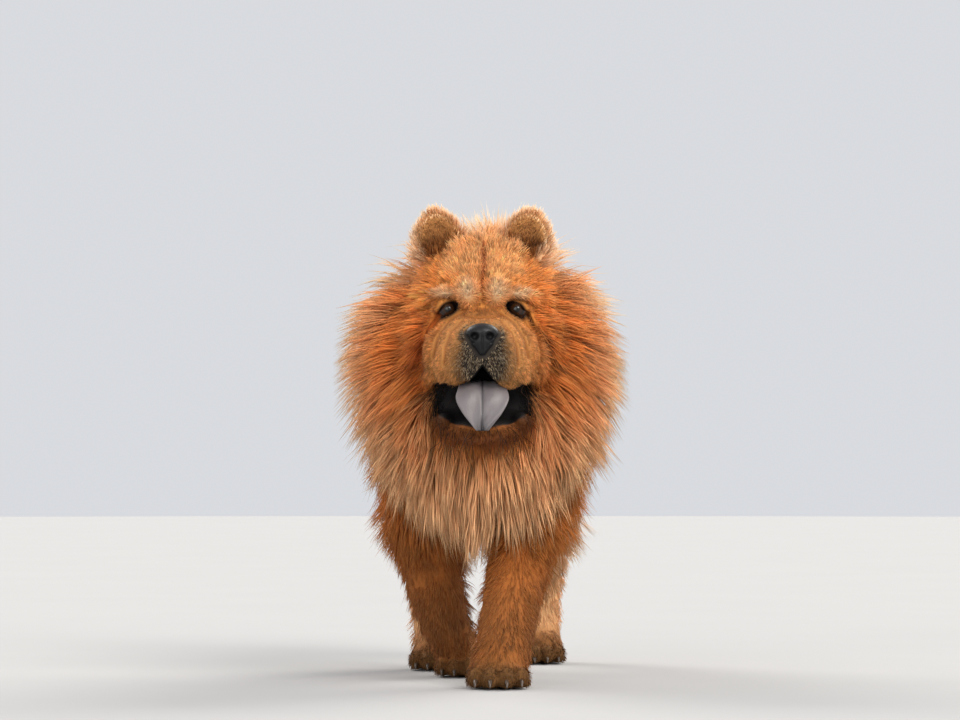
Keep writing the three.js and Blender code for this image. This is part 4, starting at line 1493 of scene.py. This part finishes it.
def end_faces(rings, sides, first=0):
    """One face over each end of a tube."""
    last = first + rings * sides
    return [list(range(first, first + sides)), list(range(last + sides - 1, last - 1, -1))]


# Angles from the eye's middle to the edges of its pupil and iris
PUPIL_EDGE = 0.30
IRIS_EDGE = 0.78
PUPIL = np.array([0.003, 0.003, 0.003])
IRIS = np.array([0.026, 0.010, 0.004])
EYE_WHITE = np.array([0.022, 0.013, 0.010])


def eye_colour(a, b):
    """Pupil, fibrous iris with a dark rim, and the dim white round it."""
    if a < PUPIL_EDGE:
        return PUPIL
    if a < IRIS_EDGE:
        fibre = 1 + 0.25 * math.sin(23 * b) * math.sin(9 * b)
        return IRIS * fibre * (1 - 0.8 * ((a - PUPIL_EDGE) / (IRIS_EDGE - PUPIL_EDGE)) ** 4)
    return EYE_WHITE * min(1, 0.15 + (a - IRIS_EDGE) * 2)


def make_eyes(finish):
    """Eyeballs with a raised cornea, iris and pupil, looking straight ahead."""
    rings, sides = 44, 48
    points, colours = [], []
    for i in range(rings + 1):
        a = math.pi * (i / rings) ** 1.3
        radius = EYE_RADIUS * (1 + 0.07 * math.exp(-((a / 0.42) ** 4)))
        for k in range(sides):
            b = 2 * math.pi * k / sides
            out = radius * math.sin(a)
            points.append([out * math.cos(b), -radius * math.cos(a), out * math.sin(b)])
            colours.append(eye_colour(a, b))
    for name, side in (("eye_left", 1), ("eye_right", -1)):
        at = EYE_AT * np.array([side, 1, 1])
        piece = add_piece(name + "_ball", np.array(points) + at, ring_faces(rings, sides))
        face_outward(piece)
        paint(piece, np.array(colours))
        piece.data.materials.append(finish)
        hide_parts(name)


def face_outward(piece):
    """Turns all the faces of a closed piece outwards."""
    mesh = bmesh.new()
    mesh.from_mesh(piece.data)
    bmesh.ops.recalc_face_normals(mesh, faces=mesh.faces)
    mesh.to_mesh(piece.data)
    mesh.free()
    piece.data.shade_smooth()


NOSE_BOX = (-34, -404, 420), (34, -348, 484)
NOSE_PITCH = 1.0


def make_nose(finish):
    values, start = sample(nose_field, *NOSE_BOX, NOSE_PITCH)
    points, quads = surface_net(values, start, NOSE_PITCH)
    points = settle(nose_field, points, 3, 0.8)
    piece = add_piece("nose_pad", points, quads)
    piece.data.materials.append(finish)
    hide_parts("nose")


TONGUE = [
    (0, -284, 389, 24, 5),
    (0, -326, 396, 29, 5),
    (0, -350, 390, 31, 5),
    (0, -362, 376, 34, 4.5),
    (0, -367, 359, 26, 4),
    (0, -369, 346, 16, 3.6),
    (0, -370, 336, 8, 2.6),
]


TONGUE_PALE = np.array([0.122, 0.106, 0.110])
TONGUE_DARK = np.array([0.024, 0.021, 0.025])


def hump(x, width):
    """One at zero, falling to nothing at a few widths from it."""
    return math.exp(-((x / width) ** 2))


def make_tongue(finish):
    """A broad blade hanging out of the mouth, hollowed along its middle."""
    steps, sides = 44, 96
    t = np.linspace(0, len(TONGUE) - 1, steps + 1)
    rows = spline(TONGUE, t)
    along = unit(np.gradient(rows[:, :3], axis=0))
    rise = np.stack([0 * t, along[:, 2] * -1, along[:, 1]], axis=1)
    rise *= -np.sign(rise[:, 1:2] + 1e-9)
    points, colours = [], []
    for i in range(steps + 1):
        near_tip = max(0, 1 - (1 - i / steps) * 2.8)
        for k in range(sides):
            b = 2 * math.pi * k / sides
            x = rows[i, 3] * math.cos(b)
            across = x / max(rows[i, 3], 1)
            top = math.sin(b) > 0
            thick = rows[i, 4] * math.sin(b)
            groove = -1.5 * hump(x, 1.5) if top else 0
            wave = 0.8 * math.sin(across * 7 + i * 0.25) * (1 if top else 0.4)
            height = thick + groove + 2.2 * across**2 + wave
            points.append(rows[i, :3] + np.array([x, 0, 0]) + rise[i] * height)
            # The thin dark line along the middle, with a faint broad darkening round it, is painted
            # shade in the groove; the tip darkens towards its middle and the edges are a little paler
            shade = 0.75 * hump(x, 1.3) + 0.14 * hump(x, 9)
            shade += 0.75 * near_tip * hump(x, 8) - 0.12 * hump(abs(across) - 1, 0.1)
            colours.append(TONGUE_PALE + (TONGUE_DARK - TONGUE_PALE) * min(1, shade))
    faces = ring_faces(steps, sides) + end_faces(steps, sides)
    piece = add_piece("tongue_blade", np.array(points), faces)
    face_outward(piece)
    paint(piece, np.array(colours))
    piece.data.materials.append(finish)
    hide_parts("tongue")


LOWEST = 0.8


def claw_points(base, size, lean_out, sides, steps):
    """The rings of one claw, curved down and tapered to a blunt tip."""
    points = []
    for i in range(steps + 1):
        s = i / steps
        at = base + size * np.array([lean_out * s, -13 * math.sin(1.3 * s), -8.6 * s * s])
        radius = 3.1 * size * (1 - s) ** 0.6 + 0.15
        lean = 1.2 * s
        for k in range(sides):
            b = 2 * math.pi * k / sides
            up = math.sin(b) * radius * 1.15
            offset = [math.cos(b) * radius, up * math.sin(lean) * -1, up * math.cos(lean)]
            p = at + np.array(offset)
            points.append([p[0], p[1], max(p[2], LOWEST)])
    return points


def make_claws(finish):
    """Four curved claws on each paw."""
    sides, steps = 10, 8
    points, faces = [], []
    for x, y, long, size in PAWS.values():
        for tx, ty in TOES:
            base = np.array([x + tx * size, y + ty * size * long / 42 - 13 * size, 11 * size])
            faces += ring_faces(steps, sides, len(points)) + end_faces(steps, sides, len(points))
            points += claw_points(base, size, tx * 0.03, sides, steps)
    piece = add_piece("claws", np.array(points), faces)
    face_outward(piece)
    piece.data.materials.append(finish)


# The studio


def floor_material():
    m, nodes, links, shader = material("studio floor")
    soft = noise_at(nodes, links, 3, 3)
    colour = between(nodes, links, soft, (0.315, 0.318, 0.324), (0.335, 0.338, 0.344))
    links.new(colour, shader.inputs["Base Color"])
    shader.inputs["Roughness"].default_value = 0.9
    return m


def make_floor():
    mesh = bmesh.new()
    bmesh.ops.create_circle(mesh, cap_ends=True, segments=96, radius=14)
    data = bpy.data.meshes.new("studio_floor")
    mesh.to_mesh(data)
    mesh.free()
    data.materials.append(floor_material())
    floor = bpy.data.objects.new("studio_floor", data)
    bpy.context.collection.objects.link(floor)


# Each soft light: where it comes from, strength, spread and colour
LIGHTS = {
    "key": ((1.7, -2.6, 2.1), 3.0, 0.5, (1.0, 0.95, 0.89)),
    "fill": ((-1.4, -3.2, 0.7), 1.5, 0.8, (1.0, 0.97, 0.93)),
    "rim_right": ((1.8, 1.9, 1.9), 2.7, 0.6, (1.0, 0.95, 0.86)),
    "rim_left": ((-1.9, 1.8, 1.8), 2.1, 0.6, (1.0, 0.95, 0.88)),
}


def make_studio():
    """A plain pale sky and even lights, as from wide, distant softboxes."""
    world = bpy.data.worlds.new("studio")
    world.use_nodes = True
    set_on(world.node_tree.nodes["Background"], {"Color": (0.86, 0.88, 0.92, 1), "Strength": 0.8})
    bpy.context.scene.world = world
    for name, (come_from, strength, spread, colour) in LIGHTS.items():
        light = bpy.data.lights.new(name, "SUN")
        light.energy = strength
        light.angle = spread
        light.color = colour
        lamp = bpy.data.objects.new(name, light)
        lamp.location = come_from
        lamp.rotation_euler = (-Vector(come_from)).to_track_quat("-Z", "Y").to_euler()
        bpy.context.collection.objects.link(lamp)


CAMERA_AT = (-3.0, -4970.0, 300.0)
CAMERA_PITCH = 1.575


def make_camera():
    data = bpy.data.cameras.new("camera")
    data.lens = 135
    data.sensor_width = 36
    data.sensor_fit = "HORIZONTAL"
    camera = bpy.data.objects.new("camera", data)
    camera.location = to_frame(CAMERA_AT)
    camera.rotation_euler = (math.radians(90 + CAMERA_PITCH), 0, 0)
    bpy.context.collection.objects.link(camera)
    bpy.context.scene.camera = camera


make_camera()
make_studio()
make_floor()
bpy.context.scene.view_settings.view_transform = "Standard"
skin, skin_points, skin_weights = make_skin(skin_material())
coat = coat_material()
make_coat(skin, skin_points, skin_weights, coat)
make_wisps(skin_points, skin_weights, coat)
make_eyes(eye_material())
make_nose(nose_material())
make_tongue(tongue_material())
make_claws(claw_material())
